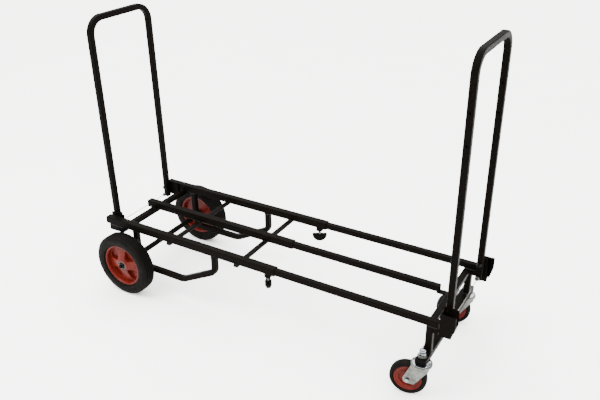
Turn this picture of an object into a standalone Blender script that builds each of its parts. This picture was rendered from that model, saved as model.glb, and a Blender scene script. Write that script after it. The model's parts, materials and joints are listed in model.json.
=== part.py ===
"""Convertible hand truck: telescoping deck, two folding handles, two fixed wheels, two swivel casters.

Metres, +Z up, +X towards the casters, origin on the floor under the middle of the bounding box.
Lengths along the deck are counted from the pivot line of the rear handle, and one empty carries
every piece to the origin.
"""

from math import atan2, cos, pi, radians, sin, tau

import bmesh
import bpy
from mathutils import Matrix, Vector

# ------------------------------------------------------------------ driving dimensions
GAP = 0.0003                 # left between pieces that touch
TURN_GAP = 0.0015            # left beside a piece that turns

DECK_TOP = 0.2535            # top of the rails above the floor
RAIL_Y = 0.164               # middle plane to a side rail
INNER_TUBE = 0.020           # square tube of the sliding front frame
OUTER_WALL = 0.002           # wall of the rear frame's square tube
SLIDE_CLEARANCE = 0.0005     # between an inner tube and the bore it slides in
INNER_WALL = 0.0016
TUBE_CORNER = 0.0028         # outside corner radius of every square tube

SIDE_RAIL_REAR = -0.009
SIDE_RAIL_FRONT = 0.680
CENTRE_RAIL_REAR = 0.035
CENTRE_RAIL_FRONT = 0.645
SIDE_OVERLAP = 0.160         # side slider left inside its rail at full reach
CENTRE_OVERLAP = 0.105
CENTRE_BEHIND_CROSS = 0.031  # front cross tube to the end of the centre slider
PLUG_HEAD = 0.0025
PLUG_DEPTH = 0.015
LOW_PLUG_DEPTH = 0.007

CROSS_TUBE = 0.020           # tube under the rails, rear and front
REAR_CROSS_X = 0.054
TIE_WIDTH = 0.016            # flat tube under the rails
TIE_HEIGHT = 0.010
TIE_WALL = 0.0016
TIE_XS = (0.264, 0.537)

AXLE_X = 0.0883
WHEEL_RADIUS = 0.1124
WHEEL_WIDTH = 0.0506
WHEEL_BESIDE_RAIL = 0.0462   # rail's middle to the wheel's
RIM_RADIUS = 0.076
RIM_POCKETS = 4
RIM_WEB = 0.004              # half thickness of the web behind the pockets
POCKET_RADII = (0.028, 0.062)
POCKET_HALF_WIDTH = 0.007
POCKET_HALF_ANGLE = 24.0
POCKET_TURN = 52.0           # first pocket, from +X towards +Z
AXLE_RADIUS = 0.0095
SPINDLE_RADIUS = 0.006
BEARING_RADIUS = 0.0145

SKID_TUBE = 0.019            # square tube of the loop under each side rail
SKID_WALL = 0.002
SKID_INBOARD = 0.004         # loop's middle inside the rail's
SKID_HEIGHT = 0.089          # run of the loop above the floor
SKID_RISE_X = 0.303
SKID_FRONT_X = 0.442
SKID_CORNER_Z = 0.162

CLAMP_X = 0.651
BOSS_RADIUS = 0.012
BOSS_HEIGHT = 0.0125
STUD_RADIUS = 0.004
STUD_SHOWN = 0.014
KNOB_WIDTH = 0.050
KNOB_DEPTH = 0.027
KNOB_THICK = 0.022
KNOB_ANGLES = {"right": 125.0, "left": 29.0}

HANDLE_TUBE = 0.019
HANDLE_WALL = 0.0016
BOLT_SPACE = 0.0053          # bracket wall to the rail, for the head of the pivot bolt
HANDLE_BEND = 0.050
REAR_HANDLE_TOP = 0.936
FRONT_HANDLE_TOP = 0.987
HANDLE_IN_BRACKET = 0.0128   # rear end of the front bracket to the handle's pivot line
REAR_PIVOT_DROP = 0.0115     # below the top of the deck
FRONT_PIVOT_RISE = 0.0225
REAR_LOCK_DROP = 0.028       # lock pin below its pivot
FRONT_LOCK_DROP = 0.044
FOOT_BELOW_LOCK = 0.0107
HANDLE_HOLE_DROPS = (0.2295, 0.146)
HANDLE_HOLE_RADIUS = 0.003

PLATE = 0.003                # sheet of the handle brackets
REAR_BRACKET_REAR = -0.013
REAR_BRACKET_OUTER_REAR = 0.002
REAR_BRACKET_RISE = 0.0065   # above the top of the deck
REAR_BRACKET_DROP = 0.0445
FRONT_BRACKET_X = 1.2079
FRONT_BRACKET_LENGTH = 0.0441
FRONT_BRACKET_RISE = 0.0275
FRONT_WALL_RISE = 0.0365
FRONT_BRACKET_DROP = 0.0437
FRONT_WALL_SHORTER = 0.014   # the inner wall stops this far behind the outer one
BRACKET_CUT = (0.0095, 0.036)
BRACKET_NIP = 0.005

PIVOT_BOLT_RADIUS = 0.004
BOLT_HEAD_RADIUS = 0.0072
BOLT_HEAD = 0.0042
BOLT_NUT = 0.0065
BOLT_END = 0.0035
PIN_RADIUS = 0.0037
PIN_TRAVEL = 0.008
PIN_HEAD_RADIUS = 0.007
PIN_HEAD = 0.004
PIN_EYE_RADIUS = 0.0025
PIN_EYE = 0.005
WIRE_RADIUS = 0.00125

STUB_CLEARANCE = 0.0011
CROSS_BEHIND_LEG = 0.0048
STUB_LENGTH = 0.0160
LOW_CROSS_BEHIND_LEG = 0.0058
LOW_CROSS_WIDTH = 0.032
LOW_CROSS_HEIGHT = 0.020
LOW_CROSS_REACH = 0.0415     # rail's middle to the tube's end
TONGUE_LENGTH = 0.027
TONGUE_THICK = 0.004
TONGUE_WIDTH = 0.018

CASTER_BEHIND_LEG = 0.0078
CASTER_BESIDE_LEG = 0.015    # a leg's outer face to the caster's swivel axis
CASTER_TRAIL = 0.0345
CASTER_RADIUS = 0.0546
CASTER_WIDTH = 0.027
CASTER_RIM_RADIUS = 0.041
CASTER_ANGLES = {"right": 10.0, "left": 15.0}
CROWN_RADIUS = 0.031
CROWN_THICK = 0.003
FORK_PLATE = 0.0025
FORK_CLEARANCE = 0.0016
FORK_EYE = 0.012
KINGPIN_RADIUS = 0.006
KINGPIN_HEAD_RADIUS = 0.010
KINGPIN_HEAD = 0.004
RACE_RADIUS = 0.026
RACE_HEIGHT = 0.0042         # crown to the underside of the low cross tube
WASHER_RADIUS = 0.014
WASHER_THICK = 0.002
CASTER_BOLT_RADIUS = 0.004
CASTER_BOLT_HEAD_RADIUS = 0.0068
CASTER_BOLT_HEAD = 0.004
DOME_NUT_RADIUS = 0.012
DOME_NUT_HEIGHT = 0.024

# ------------------------------------------------------------------ derived places
OUTER_TUBE = INNER_TUBE + 2 * (OUTER_WALL + SLIDE_CLEARANCE)
HANDLE_Y = RAIL_Y - OUTER_TUBE / 2 - BOLT_SPACE - PLATE - TURN_GAP - HANDLE_TUBE / 2
WHEEL_Y = RAIL_Y + WHEEL_BESIDE_RAIL
SKID_Y = RAIL_Y - SKID_INBOARD
LOW_CROSS_END = RAIL_Y + LOW_CROSS_REACH
FRONT_HANDLE_X = FRONT_BRACKET_X + HANDLE_IN_BRACKET
LEG_X = FRONT_BRACKET_X - STUB_CLEARANCE - STUB_LENGTH - INNER_TUBE / 2
FRONT_CROSS_X = LEG_X - CROSS_BEHIND_LEG
CENTRE_SLIDER_FRONT = FRONT_CROSS_X - CENTRE_BEHIND_CROSS
LOW_CROSS_X = LEG_X - LOW_CROSS_BEHIND_LEG
CASTER_X = LEG_X - CASTER_BEHIND_LEG
REAR_PIVOT_Z = DECK_TOP - REAR_PIVOT_DROP
FRONT_PIVOT_Z = DECK_TOP + FRONT_PIVOT_RISE
REAR_LOCK_Z = REAR_PIVOT_Z - REAR_LOCK_DROP
FRONT_LOCK_Z = FRONT_PIVOT_Z - FRONT_LOCK_DROP
REAR_BRACKET_TOP = DECK_TOP + REAR_BRACKET_RISE
REAR_BRACKET_BOTTOM = DECK_TOP - REAR_BRACKET_DROP
FRONT_BRACKET_TOP = DECK_TOP + FRONT_BRACKET_RISE
FRONT_WALL_TOP = DECK_TOP + FRONT_WALL_RISE
FRONT_BRACKET_BOTTOM = DECK_TOP - FRONT_BRACKET_DROP
HANDLE_HOLE_ZS = tuple(FRONT_HANDLE_TOP - drop for drop in HANDLE_HOLE_DROPS)
RAIL_Z = DECK_TOP - OUTER_TUBE / 2
RAIL_BOTTOM = DECK_TOP - OUTER_TUBE
SLIDER_BOTTOM = RAIL_Z - INNER_TUBE / 2
REAR_CROSS_Z = RAIL_BOTTOM - GAP - CROSS_TUBE / 2
FRONT_CROSS_Z = SLIDER_BOTTOM - GAP - CROSS_TUBE / 2
TIE_Z = RAIL_BOTTOM - GAP - TIE_HEIGHT / 2
SKID_REAR_X = AXLE_X + AXLE_RADIUS + GAP + SKID_TUBE / 2
POST_OUTER_Y = HANDLE_Y + HANDLE_TUBE / 2
POST_INNER_Y = HANDLE_Y - HANDLE_TUBE / 2
WALL_INNER_Y = POST_OUTER_Y + TURN_GAP
WALL_OUTER_Y = WALL_INNER_Y + PLATE
REAR_FACE_Y = RAIL_Y + OUTER_TUBE / 2
FRONT_FACE_Y = RAIL_Y + INNER_TUBE / 2
CASTER_Y = RAIL_Y + INNER_TUBE / 2 + CASTER_BESIDE_LEG
FRONT_MOST = FRONT_BRACKET_X + FRONT_BRACKET_LENGTH
REAR_MOST = AXLE_X - WHEEL_RADIUS
ORIGIN_X = (FRONT_MOST + REAR_MOST) / 2
CROWN_BOTTOM = 2 * CASTER_RADIUS + FORK_CLEARANCE
CROWN_TOP = CROWN_BOTTOM + CROWN_THICK
LOW_CROSS_TOP = CROWN_TOP + RACE_HEIGHT + LOW_CROSS_HEIGHT

SIDES = (("right", -1), ("left", 1))

# ------------------------------------------------------------------ scene, collections, materials
for old in list(bpy.data.objects):
    bpy.data.objects.remove(old, do_unlink=True)

PARTS = bpy.data.collections.new("convertible_hand_truck")
CUTTERS = bpy.data.collections.new("cutters")
for collection in (PARTS, CUTTERS):
    bpy.context.scene.collection.children.link(collection)

ROOT = bpy.data.objects.new("hand_truck_origin", None)
ROOT.location = (-ORIGIN_X, 0, 0)
PARTS.objects.link(ROOT)

FINISHES = {
    "powder_coat": ((0.020, 0.018, 0.017), 0.55, 0.0),
    "black_plastic": ((0.015, 0.015, 0.015), 0.45, 0.0),
    "black_rubber": ((0.022, 0.022, 0.023), 0.85, 0.0),
    "red_plastic": ((0.55, 0.045, 0.025), 0.32, 0.0),
    "zinc_plate": ((0.72, 0.74, 0.76), 0.25, 1.0),
    "black_bolt": ((0.06, 0.06, 0.06), 0.40, 1.0),
    "steel_wire": ((0.50, 0.50, 0.50), 0.35, 1.0),
}


def make_material(node_name, finish):
    """Each piece has its own Principled material in one of the finishes above."""
    colour, roughness, metallic = FINISHES[finish]
    material = bpy.data.materials.new(node_name + "_" + finish)
    material.use_nodes = True
    shader = material.node_tree.nodes["Principled BSDF"]
    shader.inputs["Base Color"].default_value = (*colour, 1.0)
    shader.inputs["Roughness"].default_value = roughness
    shader.inputs["Metallic"].default_value = metallic
    return material


# ------------------------------------------------------------------ modelling helpers
def add_mesh(name, mesh, collection, location, rotation=(0, 0, 0)):
    """Link a mesh as a child of the origin empty."""
    piece = bpy.data.objects.new(name, mesh)
    piece.location = location
    piece.rotation_euler = rotation
    piece.parent = ROOT
    collection.objects.link(piece)
    return piece


def finish_part(piece, finish, smooth=True):
    """Give a piece its material and its shading."""
    piece.data.materials.clear()
    piece.data.materials.append(make_material(piece.name, finish))
    if smooth:
        piece.data.shade_smooth()
        piece.data.set_sharp_from_angle(angle=radians(35))
    return piece


def hide_cutter(piece):
    """Keep a cutter out of the render and out of the build."""
    piece.hide_render = True
    piece.display_type = "WIRE"
    return piece


def boolean(target, tool, operation="DIFFERENCE"):
    """Cut a tool from a piece, or join it to the piece."""
    modifier = target.modifiers.new(tool.name, "BOOLEAN")
    modifier.operation = operation
    modifier.solver = "EXACT"
    modifier.object = tool


def mesh_from_curve(piece):
    """A welded mesh of a curve object, which is removed."""
    graph = bpy.context.evaluated_depsgraph_get()
    mesh = bpy.data.meshes.new_from_object(piece.evaluated_get(graph))
    bpy.data.objects.remove(piece, do_unlink=True)
    shape = bmesh.new()
    shape.from_mesh(mesh)
    bmesh.ops.remove_doubles(shape, verts=shape.verts, dist=1e-6)
    bmesh.ops.recalc_face_normals(shape, faces=shape.faces)
    shape.to_mesh(mesh)
    shape.free()
    return mesh


def rounded_outline(corners, radius, steps=3):
    """A closed outline whose corners are arcs of one radius."""
    points = []
    count = len(corners)
    for index, corner in enumerate(corners):
        here = Vector(corner)
        back = (Vector(corners[index - 1]) - here).normalized()
        ahead = (Vector(corners[(index + 1) % count]) - here).normalized()
        points.extend(corner_arc(here, back, ahead, radius, steps))
    return points


def corner_arc(here, back, ahead, radius, steps):
    """The points of the arc that rounds one corner between two directions."""
    half = back.angle(ahead) / 2
    reach = radius / (sin(half) / cos(half))
    centre = here + (back + ahead).normalized() * (radius / sin(half))
    start = here + back * reach - centre
    stop = here + ahead * reach - centre
    turn = pi - 2 * half
    points = []
    for step in range(steps + 1):
        share = step / steps
        weight_start = sin((1 - share) * turn) / sin(turn)
        weight_stop = sin(share * turn) / sin(turn)
        points.append(centre + start * weight_start + stop * weight_stop)
    return points


def square_outline(width, height, radius):
    """A rounded rectangle centred on zero."""
    half_w, half_h = width / 2, height / 2
    corners = ((-half_w, -half_h), (half_w, -half_h), (half_w, half_h), (-half_w, half_h))
    return rounded_outline(corners, radius)


def flat_curve(name, outlines, thickness):
    """A flat curve filled between its outlines, and thickness deep along its own Z."""
    curve = bpy.data.curves.new(name, "CURVE")
    curve.dimensions = "2D"
    curve.fill_mode = "BOTH"
    curve.extrude = thickness / 2
    for outline in outlines:
        spline = curve.splines.new("POLY")
        spline.points.add(len(outline) - 1)
        for target, point in zip(spline.points, outline):
            target.co = (point[0], point[1], 0, 1)
        spline.use_cyclic_u = True
    piece = bpy.data.objects.new(name, curve)
    CUTTERS.objects.link(piece)
    return mesh_from_curve(piece)


AXIS_TURNS = {
    "X": Matrix(((0, 0, 1, 0), (1, 0, 0, 0), (0, 1, 0, 0), (0, 0, 0, 1))),
    "Y": Matrix(((1, 0, 0, 0), (0, 0, -1, 0), (0, 1, 0, 0), (0, 0, 0, 1))),
    "Z": Matrix.Identity(4),
}


def square_tube(name, axis, size, wall, length, centre, collection=PARTS):
    """A hollow square or oblong tube along an axis; its section lies across that axis."""
    width, height = size
    inside = square_outline(width - 2 * wall, height - 2 * wall, max(TUBE_CORNER - wall, 0.0004))
    outlines = [square_outline(width, height, TUBE_CORNER), inside]
    mesh = flat_curve(name, outlines, length)
    mesh.transform(AXIS_TURNS[axis])
    return add_mesh(name, mesh, collection, centre)


def plate(name, outline, thickness, centre_y, collection=PARTS):
    """A flat plate in the XZ plane."""
    mesh = flat_curve(name, [outline], thickness)
    mesh.transform(AXIS_TURNS["Y"])
    return add_mesh(name, mesh, collection, (0, centre_y, 0))


def box(name, low, high, collection=CUTTERS):
    """A box between two corners."""
    shape = bmesh.new()
    bmesh.ops.create_cube(shape, size=1.0)
    low, high = Vector(low), Vector(high)
    bmesh.ops.scale(shape, vec=high - low, verts=shape.verts)
    mesh = bpy.data.meshes.new(name)
    shape.to_mesh(mesh)
    shape.free()
    return add_mesh(name, mesh, collection, (low + high) / 2)


def cylinder(name, axis, radius, length, centre, sides=16, collection=CUTTERS):
    """A round bar along an axis."""
    shape = bmesh.new()
    bmesh.ops.create_cone(shape, cap_ends=True, segments=sides, radius1=radius, radius2=radius, depth=length)
    mesh = bpy.data.meshes.new(name)
    shape.to_mesh(mesh)
    shape.free()
    mesh.transform(AXIS_TURNS[axis])
    return add_mesh(name, mesh, collection, centre)


def turned(name, profile, axis, centre, steps=16, closed=False, collection=PARTS):
    """A profile of (radius, height) points, top to bottom, turned about an axis."""
    mesh = bpy.data.meshes.new(name)
    edges = [(index, index + 1) for index in range(len(profile) - 1)]
    if closed:
        edges.append((len(profile) - 1, 0))
    mesh.from_pydata([(radius, 0, height) for radius, height in profile], edges, [])
    piece = add_mesh(name, mesh, collection, (0, 0, 0))
    screw = piece.modifiers.new("turn", "SCREW")
    screw.axis = "Z"
    screw.angle = tau
    screw.steps = steps
    screw.render_steps = steps
    screw.use_merge_vertices = True
    screw.merge_threshold = 1e-5
    graph = bpy.context.evaluated_depsgraph_get()
    solid = bpy.data.meshes.new_from_object(piece.evaluated_get(graph))
    solid.transform(AXIS_TURNS[axis])
    piece.modifiers.clear()
    piece.data = solid
    piece.location = centre
    return piece


def tube_path(name, points, radius, sides, collection):
    """A round tube or wire along a line of points, with filled ends."""
    curve = bpy.data.curves.new(name, "CURVE")
    curve.dimensions = "3D"
    curve.bevel_depth = radius
    curve.bevel_resolution = sides // 2 - 2
    curve.use_fill_caps = True
    spline = curve.splines.new("POLY")
    spline.points.add(len(points) - 1)
    for target, point in zip(spline.points, points):
        target.co = (*point, 1)
    piece = bpy.data.objects.new(name, curve)
    CUTTERS.objects.link(piece)
    return add_mesh(name, mesh_from_curve(piece), collection, (0, 0, 0))


def square_path(name, points, outline, collection):
    """A tube of a given section along a line of points, with filled ends."""
    section = bpy.data.curves.new(name + "_section", "CURVE")
    section.dimensions = "2D"
    loop = section.splines.new("POLY")
    loop.points.add(len(outline) - 1)
    for target, point in zip(loop.points, outline):
        target.co = (point[0], point[1], 0, 1)
    loop.use_cyclic_u = True
    section_piece = bpy.data.objects.new(name + "_section", section)
    CUTTERS.objects.link(section_piece)
    curve = bpy.data.curves.new(name, "CURVE")
    curve.dimensions = "3D"
    curve.bevel_mode = "OBJECT"
    curve.bevel_object = section_piece
    curve.use_fill_caps = True
    spline = curve.splines.new("POLY")
    spline.points.add(len(points) - 1)
    for target, point in zip(spline.points, points):
        target.co = (*point, 1)
    piece = bpy.data.objects.new(name, curve)
    CUTTERS.objects.link(piece)
    mesh = mesh_from_curve(piece)
    bpy.data.objects.remove(section_piece, do_unlink=True)
    return add_mesh(name, mesh, collection, (0, 0, 0))


# ------------------------------------------------------------------ rear frame
def rear_rails():
    """Two side rails and the centre rail, with a plug in each rear end."""
    rails = [(side + "_side_rail", sign * RAIL_Y, SIDE_RAIL_REAR, SIDE_RAIL_FRONT) for side, sign in SIDES]
    rails.append(("centre_rail", 0, CENTRE_RAIL_REAR, CENTRE_RAIL_FRONT))
    for name, y, rear, front in rails:
        size = (OUTER_TUBE, OUTER_TUBE)
        tube = square_tube(name, "X", size, OUTER_WALL, front - rear, ((rear + front) / 2, y, RAIL_Z))
        if y:
            hole = cylinder(name + "_stud_hole", "Z", STUD_RADIUS + GAP, 2 * OUTER_WALL + 0.004,
                            (CLAMP_X, y, RAIL_BOTTOM + OUTER_WALL / 2))
            boolean(tube, hide_cutter(hole))
        finish_part(tube, "powder_coat")
        end_plug(name + "_plug", "X", (OUTER_TUBE, OUTER_TUBE), OUTER_WALL, PLUG_DEPTH, (rear, y, RAIL_Z), 1)


def end_plug(name, axis, size, wall, depth, mouth, inward):
    """A plastic plug: a head over the tube's end and a shank inside it."""
    shank_size = [side - 2 * wall - 2 * GAP for side in size]
    head = flat_curve(name, [square_outline(*size, TUBE_CORNER)], PLUG_HEAD)
    shank = flat_curve(name + "_shank", [square_outline(*shank_size, 0.0015)], depth)
    direction = {"X": Vector((1, 0, 0)), "Y": Vector((0, 1, 0))}[axis] * inward
    for mesh in (head, shank):
        mesh.transform(AXIS_TURNS[axis])
    mouth = Vector(mouth)
    plug = add_mesh(name, head, PARTS, mouth - direction * (PLUG_HEAD / 2 + GAP))
    tail = add_mesh(name + "_shank", shank, CUTTERS, mouth + direction * (depth / 2 - GAP - PLUG_HEAD / 2))
    boolean(plug, hide_cutter(tail), "UNION")
    return finish_part(plug, "black_plastic")


def cross_members():
    """The rear cross tube and the two flat tube ties under the rails."""
    length = 2 * (REAR_FACE_Y - GAP)
    size = (CROSS_TUBE, CROSS_TUBE)
    tube = square_tube("rear_cross_tube", "Y", size, INNER_WALL, length, (REAR_CROSS_X, 0, REAR_CROSS_Z))
    finish_part(tube, "powder_coat")
    for index, x in enumerate(TIE_XS, start=1):
        place = (x, 0, TIE_Z)
        tie = square_tube("tie_bar_%d" % index, "Y", (TIE_WIDTH, TIE_HEIGHT), TIE_WALL, length, place)
        finish_part(tie, "powder_coat")


def skid_loops():
    """A bent square tube under each side rail, from the axle to the middle of the rail."""
    top = RAIL_BOTTOM - GAP
    inside = SKID_TUBE - 2 * SKID_WALL
    for side, sign in SIDES:
        y = sign * SKID_Y
        corners = ((SKID_REAR_X, SKID_HEIGHT), (SKID_RISE_X, SKID_HEIGHT), (SKID_FRONT_X, SKID_CORNER_Z))
        bends = (0.030, 0.060, 0.030)
        ends = ((SKID_REAR_X, top), (SKID_FRONT_X, top))
        chain = (ends[0], *corners, ends[1])
        route = [ends[0]]
        for index, bend in enumerate(bends, start=1):
            here = Vector(chain[index])
            back = (Vector(chain[index - 1]) - here).normalized()
            ahead = (Vector(chain[index + 1]) - here).normalized()
            route.extend(corner_arc(here, back, ahead, bend, 5))
        route.append(ends[1])
        points = [(x, y, z) for x, z in route]
        outline = square_outline(SKID_TUBE, SKID_TUBE, TUBE_CORNER)
        loop = square_path(side + "_skid_loop", points, outline, PARTS)
        over = 0.002
        points[0] = (points[0][0], y, top + over)
        points[-1] = (points[-1][0], y, top + over)
        core = square_path(side + "_skid_core", points, square_outline(inside, inside, 0.001), CUTTERS)
        boolean(loop, hide_cutter(core))
        finish_part(loop, "powder_coat")


def clamp_bosses():
    """The threaded boss under the front end of each side rail."""
    top = RAIL_BOTTOM - GAP
    for side, sign in SIDES:
        centre = (CLAMP_X, sign * RAIL_Y, top - BOSS_HEIGHT / 2)
        boss = cylinder(side + "_clamp_boss", "Z", BOSS_RADIUS, BOSS_HEIGHT, centre, 20, PARTS)
        hole = cylinder(side + "_boss_hole", "Z", STUD_RADIUS + GAP, BOSS_HEIGHT + 0.004, centre)
        boolean(boss, hide_cutter(hole))
        finish_part(boss, "powder_coat")


def rear_brackets():
    """A U-shaped bracket under each side rail; its inner wall carries the handle."""
    front = REAR_CROSS_X - CROSS_TUBE / 2 - GAP
    outline = rounded_outline(
        ((REAR_BRACKET_REAR, REAR_BRACKET_TOP), (REAR_BRACKET_REAR, REAR_LOCK_Z - 0.006),
         (REAR_BRACKET_OUTER_REAR, REAR_BRACKET_BOTTOM - 0.001), (front, REAR_BRACKET_BOTTOM),
         (front, REAR_BRACKET_TOP)), 0.003)
    width = REAR_FACE_Y - WALL_INNER_Y
    beyond = 0.01
    for side, sign in SIDES:
        name = side + "_rear_bracket"
        bracket = plate(name, outline, width, sign * (REAR_FACE_Y + WALL_INNER_Y) / 2)
        floor = REAR_BRACKET_BOTTOM + PLATE
        far, near = sign * (REAR_FACE_Y + beyond), sign * WALL_OUTER_Y
        inside = sign * (REAR_FACE_Y - PLATE)
        rear = REAR_BRACKET_REAR - beyond
        above, below = REAR_BRACKET_TOP + beyond, REAR_BRACKET_BOTTOM - beyond
        spaces = (
            ("channel", (rear, inside, floor), (front + beyond, near, above)),
            ("over", (rear, far, RAIL_BOTTOM - GAP), (front + beyond, near, above)),
            ("behind", (rear, far, below), (REAR_BRACKET_OUTER_REAR, near, above)),
        )
        cut_bracket(bracket, name, spaces)
        wall_holes(bracket, name, sign, 0.0, (REAR_PIVOT_Z, REAR_LOCK_Z))
        finish_part(bracket, "powder_coat")


def cut_bracket(bracket, name, spaces):
    """Open a bracket with boxes given by two corners in any order."""
    for label, first, second in spaces:
        low = [min(pair) for pair in zip(first, second)]
        high = [max(pair) for pair in zip(first, second)]
        boolean(bracket, hide_cutter(box(name + "_" + label, low, high)))


def wall_holes(bracket, name, sign, x, heights):
    """The pivot hole and the lock hole in a bracket's inner wall."""
    pivot_z, lock_z = heights
    centre_y = sign * (WALL_INNER_Y + WALL_OUTER_Y) / 2
    for label, z, radius in (("pivot", pivot_z, PIVOT_BOLT_RADIUS), ("lock", lock_z, PIN_RADIUS)):
        hole = cylinder(name + "_" + label, "Y", radius + GAP, 3 * PLATE, (x, centre_y, z))
        boolean(bracket, hide_cutter(hole))


# ------------------------------------------------------------------ wheels
def rear_axle():
    """One axle: a thick bar between the wheels, a spindle and a cap at each end."""
    inner = WHEEL_Y - WHEEL_WIDTH / 2 - 0.003
    outer = WHEEL_Y + WHEEL_WIDTH / 2 + 0.0012
    cap = 0.0035
    half = [(0, outer + cap), (SPINDLE_RADIUS + 0.003, outer + cap), (SPINDLE_RADIUS + 0.004, outer + cap * 0.6),
            (SPINDLE_RADIUS + 0.004, outer), (SPINDLE_RADIUS, outer), (SPINDLE_RADIUS, inner), (AXLE_RADIUS, inner)]
    profile = half + [(radius, -height) for radius, height in reversed(half)]
    axle = turned("rear_axle", profile, "Y", (AXLE_X, 0, WHEEL_RADIUS))
    finish_part(axle, "powder_coat")


def wheel_tyre(name, radius, width, rim_radius, centre, steps=36):
    """A solid rubber tyre with rounded shoulders, seated on its rim."""
    half = width / 2
    inner = rim_radius + GAP
    profile = [(inner, half * 0.86), (rim_radius + 0.25 * (radius - rim_radius), half),
               (rim_radius + 0.70 * (radius - rim_radius), half * 0.97), (radius * 0.965, half * 0.86),
               (radius * 0.990, half * 0.62), (radius, half * 0.30)]
    profile += [(r, -h) for r, h in reversed(profile)]
    return turned(name, profile, "Y", centre, steps, closed=True)


def wheel_rim(name, radius, width, bore, centre, steps=36, cone=0.0):
    """A moulded rim: a barrel, a hub and a web between them, turned in one piece.

    A cone other than 0 fills one face out to the hub; its sign tells which face.
    """
    half = width * 0.40
    lip = radius - 0.0055
    hub = bore + 0.009
    web = RIM_WEB
    profile = [(bore, half), (hub, half), (hub + 0.003, web), (lip - 0.004, web), (lip, half), (radius, half)]
    back = [(r, -h) for r, h in reversed(profile)]
    if cone:
        profile[2] = (hub + 0.001, half - 0.002)
        profile[3] = (lip - 0.004, web + 0.002)
    profile += back
    if cone < 0:
        profile = [(r, -h) for r, h in reversed(profile)]
    return turned(name, profile, "Y", centre, steps, closed=True)


def rear_wheels():
    """A tyre, a rim with four blind pockets and a bearing sleeve on each end of the axle."""
    for side, sign in SIDES:
        centre = Vector((AXLE_X, sign * WHEEL_Y, WHEEL_RADIUS))
        tyre = wheel_tyre(side + "_rear_tyre", WHEEL_RADIUS, WHEEL_WIDTH, RIM_RADIUS, centre)
        finish_part(tyre, "black_rubber")
        bore = BEARING_RADIUS + GAP
        rim = wheel_rim(side + "_rear_rim", RIM_RADIUS, WHEEL_WIDTH, bore, centre, cone=sign)
        inner, outer = POCKET_RADII
        spread = radians(POCKET_HALF_ANGLE)
        high, wide = outer * cos(spread), outer * sin(spread)
        corners = ((inner, -POCKET_HALF_WIDTH), (inner, POCKET_HALF_WIDTH), (high, wide), (high, -wide))
        outline = rounded_outline(corners, 0.004)
        depth = 0.03
        for index in range(RIM_POCKETS):
            pocket = plate("%s_pocket_%d" % (rim.name, index), outline, depth, 0, CUTTERS)
            angle = tau * index / RIM_POCKETS + radians(POCKET_TURN)
            pocket.data.transform(Matrix.Rotation(-angle, 4, "Y"))
            pocket.location = centre + Vector((0, sign * (RIM_WEB + depth / 2), 0))
            boolean(rim, hide_cutter(pocket))
        finish_part(rim, "red_plastic")
        half = WHEEL_WIDTH / 2 + 0.0006
        flange = BEARING_RADIUS
        profile = [(SPINDLE_RADIUS + GAP, half), (flange, half), (flange, -half), (SPINDLE_RADIUS + GAP, -half)]
        bearing = turned(side + "_wheel_bearing", profile, "Y", centre, 24, closed=True)
        finish_part(bearing, "zinc_plate")


# ------------------------------------------------------------------ clamp knobs
def clamp_knobs():
    """A threaded stud under each side rail, turned by a moulded wing knob."""
    stud_top = SLIDER_BOTTOM - GAP
    knob_top = RAIL_BOTTOM - GAP - BOSS_HEIGHT - STUD_SHOWN
    socket = 0.012
    half_width = KNOB_WIDTH / 2
    steps = 12
    arc = [(half_width * cos(pi * step / steps), -KNOB_DEPTH * sin(pi * step / steps)) for step in range(steps + 1)]
    for side, sign in SIDES:
        place = (CLAMP_X, sign * RAIL_Y, knob_top)
        stud_bottom = knob_top - socket + GAP
        length = stud_top - stud_bottom
        stud = cylinder(side + "_clamp_stud", "Z", STUD_RADIUS, length,
                        (CLAMP_X, sign * RAIL_Y, stud_bottom + length / 2), 16, PARTS)
        finish_part(stud, "zinc_plate")
        knob = plate(side + "_wing_knob", arc, KNOB_THICK, 0)
        knob.location = place
        knob.rotation_euler = (0, 0, radians(KNOB_ANGLES[side]))
        bevel = knob.modifiers.new("soft_edges", "BEVEL")
        bevel.width = 0.003
        bevel.segments = 2
        bevel.limit_method = "ANGLE"
        bevel.angle_limit = radians(50)
        hole = cylinder(side + "_knob_socket", "Z", STUD_RADIUS + GAP, 2 * socket, place)
        boolean(knob, hide_cutter(hole))
        finish_part(knob, "black_plastic")


# ------------------------------------------------------------------ front frame
def sliders():
    """The three inner tubes, and the tongue that ties the centre one to the cross tube."""
    front = FRONT_BRACKET_X - GAP
    tubes = [(side + "_slider", sign * RAIL_Y, SIDE_RAIL_FRONT - SIDE_OVERLAP, front) for side, sign in SIDES]
    tubes.append(("centre_slider", 0, CENTRE_RAIL_FRONT - CENTRE_OVERLAP, CENTRE_SLIDER_FRONT))
    size = (INNER_TUBE, INNER_TUBE)
    for name, y, rear, end in tubes:
        tube = square_tube(name, "X", size, INNER_WALL, end - rear, ((rear + end) / 2, y, RAIL_Z))
        finish_part(tube, "powder_coat")
    tongue_front = FRONT_CROSS_X - CROSS_TUBE / 2 - GAP
    low = (tongue_front - TONGUE_LENGTH, -TONGUE_WIDTH / 2, SLIDER_BOTTOM - GAP - TONGUE_THICK)
    high = (tongue_front, TONGUE_WIDTH / 2, SLIDER_BOTTOM - GAP)
    finish_part(box("centre_tongue", low, high, PARTS), "powder_coat", False)


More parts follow.
